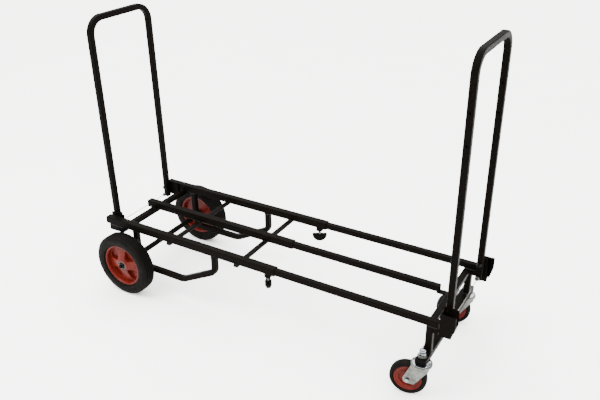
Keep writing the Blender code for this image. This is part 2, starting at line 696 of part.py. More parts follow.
def front_cross_and_legs():
    """The cross tube under the sliders, a leg at each side and the low cross tube on the casters."""
    leg_inner = RAIL_Y - INNER_TUBE / 2
    size = (CROSS_TUBE, CROSS_TUBE)
    length = 2 * (leg_inner - GAP)
    tube = square_tube("front_cross_tube", "Y", size, INNER_WALL, length, (FRONT_CROSS_X, 0, FRONT_CROSS_Z))
    finish_part(tube, "powder_coat")
    leg_top = SLIDER_BOTTOM - GAP
    leg_bottom = LOW_CROSS_TOP + GAP
    stub_x = LEG_X + INNER_TUBE / 2 + STUB_LENGTH / 2 - GAP
    for side, sign in SIDES:
        centre = (LEG_X, sign * RAIL_Y, (leg_top + leg_bottom) / 2)
        size = (INNER_TUBE, INNER_TUBE)
        leg = square_tube(side + "_leg", "Z", size, INNER_WALL, leg_top - leg_bottom, centre)
        stub_low = (LEG_X + INNER_TUBE / 2 - 0.001, sign * RAIL_Y - INNER_TUBE / 2 + 0.0005, leg_top - INNER_TUBE)
        stub_high = (stub_x + STUB_LENGTH / 2, sign * RAIL_Y + INNER_TUBE / 2 - 0.0005, leg_top - 0.0005)
        stub = box(side + "_leg_stub", stub_low, stub_high)
        boolean(leg, hide_cutter(stub), "UNION")
        finish_part(leg, "powder_coat")
    low = square_tube("low_cross_tube", "Y", (LOW_CROSS_WIDTH, LOW_CROSS_HEIGHT), INNER_WALL, 2 * LOW_CROSS_END,
                      (LOW_CROSS_X, 0, LOW_CROSS_TOP - LOW_CROSS_HEIGHT / 2))
    for side, sign in SIDES:
        hole = cylinder(side + "_kingpin_hole", "Z", KINGPIN_RADIUS + GAP, 2 * LOW_CROSS_HEIGHT,
                        (CASTER_X, sign * CASTER_Y, LOW_CROSS_TOP - LOW_CROSS_HEIGHT / 2))
        boolean(low, hide_cutter(hole))
        mouth = (LOW_CROSS_X, sign * LOW_CROSS_END, LOW_CROSS_TOP - LOW_CROSS_HEIGHT / 2)
        size = (LOW_CROSS_WIDTH, LOW_CROSS_HEIGHT)
        end_plug(side + "_low_cross_plug", "Y", size, INNER_WALL, LOW_PLUG_DEPTH, mouth, -sign)
    finish_part(low, "powder_coat")


def front_brackets():
    """A U-shaped bracket on the end of each side slider, open to the front."""
    rear, front = FRONT_BRACKET_X, FRONT_MOST
    cut_x, cut_z = BRACKET_CUT
    outline = rounded_outline(
        ((rear, FRONT_WALL_TOP), (rear, FRONT_BRACKET_BOTTOM + BRACKET_NIP),
         (rear + BRACKET_NIP, FRONT_BRACKET_BOTTOM), (front - cut_x, FRONT_BRACKET_BOTTOM),
         (front, FRONT_BRACKET_BOTTOM + cut_z), (front, FRONT_WALL_TOP)), 0.002)
    width = FRONT_FACE_Y - WALL_INNER_Y
    beyond = 0.01
    for side, sign in SIDES:
        name = side + "_front_bracket"
        bracket = plate(name, outline, width, sign * (FRONT_FACE_Y + WALL_INNER_Y) / 2)
        ahead, behind = front + beyond, rear - beyond
        above, below = FRONT_WALL_TOP + beyond, FRONT_BRACKET_BOTTOM - beyond
        wall = sign * WALL_OUTER_Y
        spaces = (
            ("channel", (rear + PLATE, sign * (FRONT_FACE_Y - PLATE), below), (ahead, wall, above)),
            ("above", (behind, sign * (FRONT_FACE_Y + beyond), FRONT_BRACKET_TOP), (ahead, wall, above)),
            ("ahead", (front - FRONT_WALL_SHORTER, sign * (WALL_INNER_Y - beyond), below), (ahead, wall, above)),
        )
        cut_bracket(bracket, name, spaces)
        wall_holes(bracket, name, sign, FRONT_HANDLE_X, (FRONT_PIVOT_Z, FRONT_LOCK_Z))
        finish_part(bracket, "powder_coat")


# ------------------------------------------------------------------ casters
def dome_points(radius, height, base):
    """The profile of a domed nut, top to bottom."""
    crown = 0.55 * height
    steps = 5
    points = []
    for step in range(steps + 1):
        angle = pi / 2 * (1 - step / steps)
        points.append((0.8 * radius * cos(angle), base + height - crown + crown * sin(angle)))
    points[0] = (0, points[0][1])
    points.append((radius, base + 0.42 * height))
    return points


def kingpins():
    """The fixed post of each caster: rivet head, race cover, stem, washer and domed nut."""
    low_bottom = LOW_CROSS_TOP - LOW_CROSS_HEIGHT
    for side, sign in SIDES:
        nut_base = LOW_CROSS_TOP + GAP + WASHER_THICK
        profile = dome_points(DOME_NUT_RADIUS, DOME_NUT_HEIGHT, nut_base)
        profile += [(DOME_NUT_RADIUS, nut_base), (WASHER_RADIUS, nut_base), (WASHER_RADIUS, LOW_CROSS_TOP + GAP),
                    (KINGPIN_RADIUS, LOW_CROSS_TOP + GAP), (KINGPIN_RADIUS, low_bottom - GAP),
                    (RACE_RADIUS, low_bottom - GAP), (RACE_RADIUS, CROWN_TOP + GAP),
                    (KINGPIN_RADIUS, CROWN_TOP + GAP), (KINGPIN_RADIUS, CROWN_BOTTOM - GAP),
                    (KINGPIN_HEAD_RADIUS, CROWN_BOTTOM - GAP),
                    (KINGPIN_HEAD_RADIUS * 0.8, CROWN_BOTTOM - GAP - KINGPIN_HEAD),
                    (0, CROWN_BOTTOM - GAP - KINGPIN_HEAD)]
        pin = turned(side + "_kingpin", profile, "Z", (CASTER_X, sign * CASTER_Y, 0), 20)
        finish_part(pin, "zinc_plate")


def casters():
    """A forked yoke, an axle bolt, a rim and a tyre on each kingpin."""
    for side, sign in SIDES:
        swivel = Vector((CASTER_X, sign * CASTER_Y, 0))
        turn = radians(CASTER_ANGLES[side])
        trail = Vector((-CASTER_TRAIL * cos(turn), -CASTER_TRAIL * sin(turn), CASTER_RADIUS))
        hub = swivel + trail
        fork = caster_fork(side, swivel, turn)
        finish_part(fork, "zinc_plate")
        tyre = wheel_tyre(side + "_caster_tyre", CASTER_RADIUS, CASTER_WIDTH, CASTER_RIM_RADIUS, hub, 28)
        rim = wheel_rim(side + "_caster_rim", CASTER_RIM_RADIUS, CASTER_WIDTH, CASTER_BOLT_RADIUS + GAP, hub, 28)
        half = CASTER_WIDTH / 2 + FORK_CLEARANCE + FORK_PLATE + GAP
        head = CASTER_BOLT_HEAD
        end = [(0, half + head), (CASTER_BOLT_HEAD_RADIUS * 0.8, half + head),
               (CASTER_BOLT_HEAD_RADIUS, half + head * 0.7), (CASTER_BOLT_HEAD_RADIUS, half),
               (CASTER_BOLT_RADIUS, half)]
        profile = end + [(radius, -height) for radius, height in reversed(end)]
        bolt = turned(side + "_caster_bolt", profile, "Y", hub)
        for piece, finish in ((tyre, "black_rubber"), (rim, "red_plastic"), (bolt, "zinc_plate")):
            piece.rotation_euler = (0, 0, turn)
            finish_part(piece, finish)


def caster_fork(side, swivel, turn):
    """A round crown with a tapered plate down each side of the wheel."""
    name = side + "_caster_fork"
    outer = CASTER_WIDTH / 2 + FORK_CLEARANCE + FORK_PLATE
    inner = CASTER_WIDTH / 2 + FORK_CLEARANCE
    reach = 0.022
    steps = 10
    eye = []
    for step in range(steps + 1):
        angle = pi * 0.92 + (pi * 0.80) * step / steps
        eye.append((-CASTER_TRAIL + FORK_EYE * cos(angle), CASTER_RADIUS + FORK_EYE * sin(angle)))
    outline = [(-reach, CROWN_TOP)] + eye + [(reach, CROWN_BOTTOM - 0.008), (reach, CROWN_TOP)]
    fork = plate(name, outline, 2 * outer, 0)
    fork.location = swivel
    fork.rotation_euler = (0, 0, turn)
    crown = cylinder(name + "_crown", "Z", CROWN_RADIUS, CROWN_THICK, (0, 0, 0), 32)
    crown.location = swivel + Vector((0, 0, CROWN_BOTTOM + CROWN_THICK / 2))
    boolean(fork, hide_cutter(crown), "UNION")
    gap = box(name + "_gap", (-0.09, -inner, 0.0), (0.09, inner, CROWN_BOTTOM))
    hole = cylinder(name + "_hole", "Z", KINGPIN_RADIUS + GAP, 0.03, (0, 0, 0))
    bore = cylinder(name + "_bore", "Y", CASTER_BOLT_RADIUS + GAP, 0.08, (0, 0, 0))
    gap.location = swivel + Vector((0, 0, CROWN_BOTTOM / 2))
    hole.location = swivel + Vector((0, 0, CROWN_TOP))
    bore.location = swivel + Matrix.Rotation(turn, 3, "Z") @ Vector((-CASTER_TRAIL, 0, CASTER_RADIUS))
    for tool in (gap, hole, bore):
        tool.rotation_euler = (0, 0, turn)
        boolean(fork, hide_cutter(tool))
    return fork


# ------------------------------------------------------------------ handles
def handle(name, x, top, pivot_z, lock_z, hole_zs):
    """A U of square tube with its pivot holes, lock-pin holes and any accessory holes."""
    foot = lock_z - FOOT_BELOW_LOCK
    crest = top - HANDLE_TUBE / 2
    chain = ((-HANDLE_Y, foot), (-HANDLE_Y, crest), (HANDLE_Y, crest), (HANDLE_Y, foot))
    core_drop = 0.004
    solids = []
    for label, drop, size, radius, collection in (
            (name, 0, HANDLE_TUBE, TUBE_CORNER, PARTS),
            (name + "_core", core_drop, HANDLE_TUBE - 2 * HANDLE_WALL, TUBE_CORNER - HANDLE_WALL, CUTTERS)):
        route = [(chain[0][0], chain[0][1] - drop)]
        for index in (1, 2):
            here = Vector(chain[index])
            back = (Vector(chain[index - 1]) - here).normalized()
            ahead = (Vector(chain[index + 1]) - here).normalized()
            route.extend(corner_arc(here, back, ahead, HANDLE_BEND, 6))
        route.append((chain[3][0], chain[3][1] - drop))
        points = [(0, y, z - pivot_z) for y, z in route]
        solid = square_path(label, points, square_outline(size, size, radius), collection)
        solid.location = (x, 0, pivot_z)
        solids.append(solid)
    body, core = solids
    boolean(body, hide_cutter(core))
    holes = [("pivot", pivot_z, PIVOT_BOLT_RADIUS + GAP), ("lock", lock_z, PIN_RADIUS + GAP)]
    holes += [("hole_%d" % index, z, HANDLE_HOLE_RADIUS) for index, z in enumerate(hole_zs)]
    for label, z, radius in holes:
        for side, sign in SIDES:
            centre = (x, sign * HANDLE_Y, z)
            hole = cylinder("%s_%s_%s" % (name, side, label), "Y", radius, HANDLE_TUBE + 0.006, centre, 12)
            boolean(body, hide_cutter(hole))
    finish_part(body, "powder_coat")


def handle_hardware(end, x, pivot_z, lock_z):
    """The pivot bolts, the lock pins and the pull wire of one handle."""
    head_in = WALL_OUTER_Y + GAP
    nut_out = POST_INNER_Y - GAP
    tip = POST_OUTER_Y + TURN_GAP / 2
    pin_head_out = POST_INNER_Y - PIN_TRAVEL - 2 * GAP
    pin_head_in = pin_head_out - PIN_HEAD
    eye_in = pin_head_in - PIN_EYE
    for side, _ in SIDES:
        bolt_profile = [(0, head_in + BOLT_HEAD), (BOLT_HEAD_RADIUS * 0.85, head_in + BOLT_HEAD),
                        (BOLT_HEAD_RADIUS, head_in + BOLT_HEAD * 0.8), (BOLT_HEAD_RADIUS, head_in),
                        (PIVOT_BOLT_RADIUS, head_in), (PIVOT_BOLT_RADIUS, nut_out), (BOLT_HEAD_RADIUS, nut_out),
                        (BOLT_HEAD_RADIUS, nut_out - BOLT_NUT), (PIVOT_BOLT_RADIUS, nut_out - BOLT_NUT),
                        (PIVOT_BOLT_RADIUS, nut_out - BOLT_NUT - BOLT_END), (0, nut_out - BOLT_NUT - BOLT_END)]
        pin_profile = [(0, tip), (PIN_RADIUS * 0.8, tip), (PIN_RADIUS, tip - 0.0015), (PIN_RADIUS, pin_head_out),
                       (PIN_HEAD_RADIUS, pin_head_out), (PIN_HEAD_RADIUS, pin_head_in),
                       (PIN_EYE_RADIUS, pin_head_in), (PIN_EYE_RADIUS, eye_in), (0, eye_in)]
        for label, profile, z, finish in (("%s_%s_pivot_bolt" % (side, end), bolt_profile, pivot_z, "black_bolt"),
                                          ("%s_%s_lock_pin" % (side, end), pin_profile, lock_z, "zinc_plate")):
            piece = turned(label, profile, "Y", (x, 0, z))
            if side == "left":
                piece.rotation_euler = (0, 0, pi)
            finish_part(piece, finish)
    wire = tube_path(end + "_pull_wire", [(0, -eye_in + GAP, 0), (0, eye_in - GAP, 0)], WIRE_RADIUS, 8, PARTS)
    wire.location = (x, 0, lock_z)
    finish_part(wire, "steel_wire")


rear_rails()
cross_members()
skid_loops()
clamp_bosses()
rear_brackets()
rear_axle()
rear_wheels()
clamp_knobs()
sliders()
front_cross_and_legs()
front_brackets()
kingpins()
casters()
handle("rear_handle", 0.0, REAR_HANDLE_TOP, REAR_PIVOT_Z, REAR_LOCK_Z, ())
handle("front_handle", FRONT_HANDLE_X, FRONT_HANDLE_TOP, FRONT_PIVOT_Z, FRONT_LOCK_Z, HANDLE_HOLE_ZS)
handle_hardware("rear", 0.0, REAR_PIVOT_Z, REAR_LOCK_Z)
handle_hardware("front", FRONT_HANDLE_X, FRONT_PIVOT_Z, FRONT_LOCK_Z)
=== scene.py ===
"""Looks of the convertible hand truck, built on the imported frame."""

import json
from math import atan2, cos, pi, radians, sin, sqrt, tau

import bmesh
import bpy
from mathutils import Matrix, Vector, noise


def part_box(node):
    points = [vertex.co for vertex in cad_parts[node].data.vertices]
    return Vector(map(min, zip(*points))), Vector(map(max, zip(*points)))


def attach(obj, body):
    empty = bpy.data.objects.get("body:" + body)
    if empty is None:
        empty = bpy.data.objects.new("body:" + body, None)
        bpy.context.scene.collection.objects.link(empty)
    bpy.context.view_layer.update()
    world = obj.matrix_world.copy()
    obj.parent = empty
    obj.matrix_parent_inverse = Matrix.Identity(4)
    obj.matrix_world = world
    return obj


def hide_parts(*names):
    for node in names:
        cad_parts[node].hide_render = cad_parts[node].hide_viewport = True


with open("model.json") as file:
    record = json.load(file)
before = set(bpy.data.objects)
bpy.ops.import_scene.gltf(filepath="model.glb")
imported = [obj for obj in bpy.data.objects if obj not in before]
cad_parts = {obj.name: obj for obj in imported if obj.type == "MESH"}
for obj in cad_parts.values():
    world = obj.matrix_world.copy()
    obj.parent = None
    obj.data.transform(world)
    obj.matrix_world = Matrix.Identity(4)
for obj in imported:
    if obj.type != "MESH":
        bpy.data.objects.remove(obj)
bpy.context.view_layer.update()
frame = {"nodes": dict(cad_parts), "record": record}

SIDES = (("right", -1), ("left", 1))
AHEAD, ACROSS, UP = Vector((1, 0, 0)), Vector((0, 1, 0)), Vector((0, 0, 1))
UPRIGHT = Matrix(((1, 0, 0, 0), (0, 0, 1, 0), (0, 1, 0, 0), (0, 0, 0, 1)))       # stands a flat outline up


# ------------------------------------------------------------------ sizes, read from the frame
def corners(node):
    """A node's lowest and highest corners as two vectors."""
    low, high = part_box(node)
    return Vector(low), Vector(high)


def middle(node):
    """The middle of a node's box."""
    low, high = corners(node)
    return (low + high) / 2


JOINTS = {joint["name"]: joint for joint in frame["record"]["behaviour"]["joints"]}
RAIL_LOW, RAIL_HIGH = corners("right_side_rail")
SLIDER_LOW, SLIDER_HIGH = corners("right_slider")
PIVOT_Z = {end: JOINTS[end + "_handle_fold"]["pos_m"][2] for end in ("rear", "front")}
RAIL_BOTTOM = RAIL_LOW.z
RAIL_Y = abs(middle("right_side_rail").y)
RAIL_HALF = (RAIL_HIGH.y - RAIL_LOW.y) / 2
SLOTS = {part["node"]: part["material_slot"] for part in frame["record"]["subparts"]}


# ------------------------------------------------------------------ materials
NOISE_LOW, NOISE_HIGH = 0.35, 0.65        # the range that most of a noise texture's values lie in


class Nodes:
    """Short names for building one Principled material."""

    def __init__(self, name, colour, roughness, metallic=0.0, specular=0.5):
        self.material = bpy.data.materials.new(name)
        self.material.use_nodes = True
        self.tree = self.material.node_tree
        self.shader = self.tree.nodes["Principled BSDF"]
        self.shader.inputs["Base Color"].default_value = (*colour, 1)
        self.shader.inputs["Roughness"].default_value = roughness
        self.shader.inputs["Metallic"].default_value = metallic
        self.shader.inputs["Specular IOR Level"].default_value = specular
        self.where = self.tree.nodes.new("ShaderNodeTexCoord")
        self.height = None

    def add(self, kind, **values):
        node = self.tree.nodes.new(kind)
        for key, value in values.items():
            if hasattr(node, key):
                setattr(node, key, value)
            else:
                node.inputs[key.replace("_", " ")].default_value = value
        return node

    def link(self, start, end):
        self.tree.links.new(start, end)

    def noise(self, scale, detail=4.0):
        """A noise value over the object's own coordinates."""
        texture = self.add("ShaderNodeTexNoise", Scale=scale, Detail=detail)
        self.link(self.where.outputs["Object"], texture.inputs["Vector"])
        return texture.outputs["Fac"]

    def colour(self, value, first, second, start=NOISE_LOW, stop=NOISE_HIGH):
        """The base colour runs from the first to the second colour with a value."""
        ramp = self.add("ShaderNodeValToRGB")
        ramp.color_ramp.elements[0].position = start
        ramp.color_ramp.elements[1].position = stop
        ramp.color_ramp.elements[0].color = (*first, 1)
        ramp.color_ramp.elements[1].color = (*second, 1)
        self.link(value, ramp.inputs["Fac"])
        self.link(ramp.outputs["Color"], self.shader.inputs["Base Color"])

    def rough(self, value, low, high):
        """The roughness runs from low to high with a value."""
        span = self.add("ShaderNodeMapRange", From_Min=NOISE_LOW, From_Max=NOISE_HIGH,
                        To_Min=low, To_Max=high)
        self.link(value, span.inputs["Value"])
        self.link(span.outputs["Result"], self.shader.inputs["Roughness"])

    def bump(self, value, distance):
        """A bump on top of any bump already there."""
        node = self.add("ShaderNodeBump", Distance=distance, Strength=1.0)
        self.link(value, node.inputs["Height"])
        if self.height:
            self.link(self.height, node.inputs["Normal"])
        self.height = node.outputs["Normal"]
        self.link(self.height, self.shader.inputs["Normal"])


def powder_coat():
    look = Nodes("powder_coat", (0.0012, 0.0009, 0.0007), 0.42, specular=0.010)
    look.colour(look.noise(420, 3), (0.0005, 0.0004, 0.0003), (0.0026, 0.0019, 0.0014))
    look.rough(look.noise(160, 3), 0.34, 0.48)
    look.bump(look.noise(620, 3), 0.00022)
    look.bump(look.noise(210, 2), 0.00010)
    return look.material


def black_plastic():
    look = Nodes("black_plastic", (0.0010, 0.0009, 0.0009), 0.45, specular=0.015)
    look.colour(look.noise(60), (0.0005, 0.0004, 0.0004), (0.0014, 0.0012, 0.0011))
    look.rough(look.noise(240), 0.42, 0.58)
    look.bump(look.noise(2400, 2), 0.00004)
    return look.material


def tyre_rubber():
    look = Nodes("tyre_rubber", (0.0018, 0.0015, 0.0012), 0.55, specular=0.022)
    look.colour(look.noise(22, 6), (0.0011, 0.0009, 0.0007), (0.0030, 0.0026, 0.0021), 0.30, 0.75)
    look.rough(look.noise(90, 5), 0.50, 0.72)
    look.bump(look.noise(900, 3), 0.00008)
    return look.material


def red_plastic():
    look = Nodes("red_plastic", (0.052, 0.0040, 0.0022), 0.30, specular=0.06)
    look.colour(look.noise(30, 5), (0.043, 0.0030, 0.0016), (0.060, 0.0050, 0.0028))
    look.rough(look.noise(120, 4), 0.25, 0.38)
    look.bump(look.noise(1100, 2), 0.00004)
    return look.material


def zinc_plate():
    look = Nodes("zinc_plate", (0.085, 0.088, 0.083), 0.30, metallic=1.0)
    look.colour(look.noise(55, 6), (0.055, 0.057, 0.052), (0.115, 0.118, 0.110))
    look.rough(look.noise(180, 5), 0.20, 0.38)
    look.bump(look.noise(700, 4), 0.00003)
    return look.material


def chrome_plate():
    look = Nodes("chrome_plate", (0.17, 0.18, 0.19), 0.10, metallic=1.0)
    look.colour(look.noise(40, 3), (0.14, 0.15, 0.16), (0.21, 0.22, 0.23))
    look.rough(look.noise(200, 4), 0.05, 0.14)
    look.bump(look.noise(300, 3), 0.00001)
    return look.material


def black_bolt():
    look = Nodes("black_bolt", (0.008, 0.008, 0.008), 0.35, metallic=1.0)
    look.colour(look.noise(300, 5), (0.004, 0.004, 0.004), (0.016, 0.015, 0.014))
    look.rough(look.noise(500, 4), 0.28, 0.48)
    look.bump(look.noise(1500, 3), 0.00003)
    return look.material


def steel_wire():
    """Wire rope: the strands are a slanting wave along it."""
    look = Nodes("steel_wire", (0.07, 0.07, 0.065), 0.40, metallic=1.0)
    look.colour(look.noise(400, 3), (0.040, 0.040, 0.036), (0.11, 0.105, 0.10))
    wave = look.add("ShaderNodeTexWave", Scale=420.0, Distortion=0.0)
    wave.bands_direction = "DIAGONAL"
    look.link(look.where.outputs["Object"], wave.inputs["Vector"])
    look.bump(wave.outputs["Fac"], 0.0002)
    return look.material


def weld_steel():
    """Painted weld metal with bare spatter."""
    look = Nodes("weld_bead", (0.0030, 0.0024, 0.0020), 0.38, specular=0.10)
    look.colour(look.noise(420, 5), (0.0012, 0.0009, 0.0007), (0.030, 0.026, 0.022), 0.55, 0.85)
    look.rough(look.noise(300, 4), 0.28, 0.46)
    look.bump(look.noise(900, 4), 0.0003)
    return look.material


# each look is a material and the slot that it stands for
COAT, PLASTIC = (powder_coat(), "powder_coat"), (black_plastic(), "black_plastic")
RUBBER, RED = (tyre_rubber(), "tyre_rubber"), (red_plastic(), "red_plastic")
ZINC, CHROME = (zinc_plate(), "zinc_plate"), (chrome_plate(), "zinc_plate")
BLACK_BOLT, WIRE = (black_bolt(), "black_bolt"), (steel_wire(), "steel_wire")
WELD = (weld_steel(), "powder_coat")
BY_SLOT = {slot: material for material, slot in (COAT, PLASTIC, RUBBER, RED, ZINC, BLACK_BOLT, WIRE)}


# ------------------------------------------------------------------ mesh helpers
SMOOTH = 40                               # degrees, the sharpest edge that is shaded smooth


def shade(mesh, smooth=SMOOTH):
    """Smooth shading with sharp edges over an angle."""
    mesh.shade_smooth()
    mesh.set_sharp_from_angle(angle=radians(smooth))


def new_piece(name, shape, body, look, replaced=(), smooth=SMOOTH):
    """Turn a bmesh into a piece that rides on a body."""
    material, slot = look
    bmesh.ops.recalc_face_normals(shape, faces=shape.faces)
    mesh = bpy.data.meshes.new(name)
    shape.to_mesh(mesh)
    shape.free()
    piece = bpy.data.objects.new(name, mesh)
    bpy.context.scene.collection.objects.link(piece)
    mesh.materials.append(material)
    shade(mesh, smooth)
    weigh(piece)
    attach(piece, body)
    if replaced:
        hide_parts(*replaced)
    return piece


def weigh(piece):
    """Broad flat faces keep flat shading beside their rounded edges."""
    modifier = piece.modifiers.new("flat_faces", "WEIGHTED_NORMAL")
    modifier.keep_sharp = True
    modifier.weight = 90


def ring_faces(shape, rings, caps=True):
    """Quads between successive rings of vertices."""
    count = len(rings[0])
    for first, second in zip(rings, rings[1:]):
        for index in range(count):
            after = (index + 1) % count
            shape.faces.new((first[index], first[after], second[after], second[index]))
    if caps:
        shape.faces.new(list(reversed(rings[0])))
        shape.faces.new(rings[-1])


def rounded(width, height, radius, steps=6):
    """A rounded rectangle as 2D points."""
    points = []
    for quarter, (sx, sy) in enumerate(((1, 1), (-1, 1), (-1, -1), (1, -1))):
        for step in range(steps + 1):
            angle = pi / 2 * (quarter + step / steps)
            points.append((sx * (width / 2 - radius) + radius * cos(angle),
                           sy * (height / 2 - radius) + radius * sin(angle)))
    return points


def circle(radius, steps):
    """A circle as 2D points."""
    return [(radius * cos(tau * step / steps), radius * sin(tau * step / steps)) for step in range(steps)]


def arc_corner(back, here, ahead, radius, steps):
    """Points of the arc that rounds a corner of a path."""
    to_back, to_ahead = (back - here).normalized(), (ahead - here).normalized()
    half = to_back.angle(to_ahead) / 2
    centre = here + (to_back + to_ahead).normalized() * (radius / sin(half))
    reach = radius * cos(half) / sin(half)
    start, stop = here + to_back * reach - centre, here + to_ahead * reach - centre
    turn = start.angle(stop)
    return [centre + (start * sin((1 - s / steps) * turn) + stop * sin(s / steps * turn)) / sin(turn)
            for s in range(steps + 1)]


def bent_path(points, radii, steps):
    """A path of straight runs with rounded corners."""
    path = [points[0]]
    for index, radius in enumerate(radii, start=1):
        path += arc_corner(points[index - 1], points[index], points[index + 1], radius, steps)
    path.append(points[-1])
    return path


def tangents(path):
    """The direction of a path at each of its points."""
    found = []
    for index, point in enumerate(path):
        before = path[max(index - 1, 0)]
        after = path[min(index + 1, len(path) - 1)]
        first = (point - before).normalized() if index else (after - point).normalized()
        second = (after - point).normalized() if index < len(path) - 1 else first
        found.append((first + second).normalized())
    return found


def sweep_rings(shape, path, outline, side, scale=None):
    """Rings of an outline along a path; side is the direction of the outline's first axis."""
    rings = []
    for index, (point, along) in enumerate(zip(path, tangents(path))):
        across = (side - along * side.dot(along)).normalized()
        third = along.cross(across)
        size = scale[index] if scale else 1.0
        rings.append([shape.verts.new(point + across * (u * size) + third * (v * size)) for u, v in outline])
    return rings


def solid_sweep(shape, path, outline, side, round_ends=0.0):
    """A solid bar along a path, with its two ends slightly rounded."""
    scale = [1.0] * len(path)
    if round_ends:
        start, stop = tangents(path)[0], tangents(path)[-1]
        inset = 1 - round_ends / max(abs(u) for u, _ in outline)
        nearly = 1 - 0.25 * (1 - inset)
        begin = [path[0], path[0] + start * round_ends * 0.35, path[0] + start * round_ends]
        finish = [path[-1] - stop * round_ends, path[-1] - stop * round_ends * 0.35, path[-1]]
        path = begin + list(path[1:-1]) + finish
        scale = [inset, nearly, 1.0] + scale[1:-1] + [1.0, nearly, inset]
    ring_faces(shape, sweep_rings(shape, path, outline, side, scale))


def hollow_sweep(shape, path, outer, inner, side):
    """A tube with a wall between two outlines of equal count."""
    outside = sweep_rings(shape, path, outer, side)
    inside = sweep_rings(shape, path, inner, side)
    ring_faces(shape, outside, caps=False)
    ring_faces(shape, [list(reversed(ring)) for ring in inside], caps=False)
    for out_ring, in_ring in ((outside[0], inside[0]), (outside[-1], inside[-1])):
        for index in range(len(out_ring)):
            after = (index + 1) % len(out_ring)
            shape.faces.new((out_ring[index], out_ring[after], in_ring[after], in_ring[index]))


def turn_to(axis):
    """A matrix that takes +Z to an axis."""
    return Vector(axis).to_track_quat("Z", "Y").to_matrix().to_4x4()


def lathe(shape, profile, centre, axis, steps=48, closed=False):
    """Turn (radius, height) points about an axis through a centre."""
    place = Matrix.Translation(centre) @ turn_to(axis)
    rings = []
    for radius, height in profile:
        spots = circle(radius, steps) if radius > 1e-7 else [(0, 0)]
        rings.append([shape.verts.new(place @ Vector((u, v, height))) for u, v in spots])
    pairs = list(zip(rings, rings[1:])) + ([(rings[-1], rings[0])] if closed else [])
    for first, second in pairs:
        for index in range(steps):
            after = (index + 1) % steps
            face = dict.fromkeys((first[index % len(first)], first[after % len(first)],
                                  second[after % len(second)], second[index % len(second)]))
            if len(face) > 2:
                shape.faces.new(list(face))


def hexagon(shape, centre, axis, across, thick, turn):
    """A hexagonal nut or head with chamfered corners."""
    place = Matrix.Translation(centre) @ turn_to(axis) @ Matrix.Rotation(turn, 4, "Z")
    corner = across / sqrt(3)
    rings = []
    steps = 36
    for height, limit in ((0, 0.93), (thick * 0.16, 1.0), (thick * 0.84, 1.0), (thick, 0.93)):
        ring = []
        for step in range(steps):
            angle = tau * step / steps
            sector = (angle + pi / 6) % (pi / 3) - pi / 6
            flat = across / 2 / cos(sector)
            radius = min(flat, corner * limit)
            ring.append(shape.verts.new(place @ Vector((radius * cos(angle), radius * sin(angle), height))))
        rings.append(ring)
    ring_faces(shape, rings)


def prism(shape, outline, low, high, place, bevel):
    """An outline extruded between two heights, its rims slightly bevelled, put in a place."""
    centre = Vector((sum(u for u, _ in outline) / len(outline), sum(v for _, v in outline) / len(outline)))
    rings = []
    for height, inset in ((low, bevel), (low + bevel, 0), (high - bevel, 0), (high, bevel)):
        ring = []
        for u, v in outline:
            point = Vector((u, v))
            away = point - centre
            point = point - away.normalized() * inset
            ring.append(shape.verts.new(place @ Vector((point.x, point.y, height))))
        rings.append(ring)
    ring_faces(shape, rings)


def cut(piece, tools):
    """Subtract tools, given as bmeshes, from a piece."""
    for shape in tools:
        bmesh.ops.recalc_face_normals(shape, faces=shape.faces)
        mesh = bpy.data.meshes.new("tool")
        shape.to_mesh(mesh)
        shape.free()
        tool = bpy.data.objects.new("tool", mesh)
        bpy.context.scene.collection.objects.link(tool)
        modifier = piece.modifiers.new("cut", "BOOLEAN")
        modifier.operation = "DIFFERENCE"
        modifier.object = tool
        graph = bpy.context.evaluated_depsgraph_get()
        result = bpy.data.meshes.new_from_object(piece.evaluated_get(graph))
        piece.modifiers.remove(modifier)
        old = piece.data
        piece.data = result
        bpy.data.meshes.remove(old)
        bpy.data.objects.remove(tool, do_unlink=True)
    shade(piece.data)


def rod(centre, axis, radius, length, steps=24):
    """A round cutter."""
    shape = bmesh.new()
    half = length / 2
    lathe(shape, [(0, half), (radius, half), (radius, -half), (0, -half)], centre, axis, steps)
    return shape


def soft_profile(points, radius=0.0008, steps=3):
    """Round every corner of an open profile by a small radius."""
    vectors = [Vector((r, h, 0)) for r, h in points]
    path = [vectors[0]]
    for before, here, after in zip(vectors, vectors[1:], vectors[2:]):
        room = 0.45 * min((before - here).length, (after - here).length)
        turn = (before - here).angle(after - here)
        if pi - turn < radians(8):
            path.append(here)
            continue
        limit = min(radius, room * sin(turn / 2) / max(cos(turn / 2), 1e-6))
        path += arc_corner(before, here, after, limit, steps)
    path.append(vectors[-1])
    return [(point.x, point.y) for point in path]


def soft_ring(points, radius, steps=3):
    """Round the corners of a closed profile, all but its first."""
    return soft_profile(points + [points[0]], radius, steps)[:-1]


def mirrored(points):
    """A profile and its mirror image below."""
    return points + [(radius, -height) for radius, height in reversed(points)]


# ------------------------------------------------------------------ pieces made by one helper
def bar(name, body, look, path, outline, side, round_ends=0.0, replaced=()):
    """A solid bar along a path."""
    shape = bmesh.new()
    solid_sweep(shape, path, outline, side, round_ends)
    new_piece(name, shape, body, look, replaced)


def turned(name, body, look, profile, centre, axis, steps, closed=True, replaced=(), smooth=SMOOTH):
    """A turned piece."""
    shape = bmesh.new()
    lathe(shape, profile, centre, axis, steps, closed)
    new_piece(name, shape, body, look, replaced, smooth)


def hex_piece(name, body, look, centre, axis, across, thick, turn):
    """A hexagonal nut or head."""
    shape = bmesh.new()
    hexagon(shape, centre, axis, across, thick, turn)
    new_piece(name, shape, body, look)


# ------------------------------------------------------------------ straight tubes
RAIL_WALL, THIN_WALL = 0.0020, 0.0016
TUBE_CORNER, CROSS_CORNER, TIE_CORNER, BAR_CORNER, PLUG_CORNER = 0.0030, 0.0036, 0.0022, 0.0032, 0.0018
PLUG_FIT = 0.0003                         # how much smaller a plug is than its tube


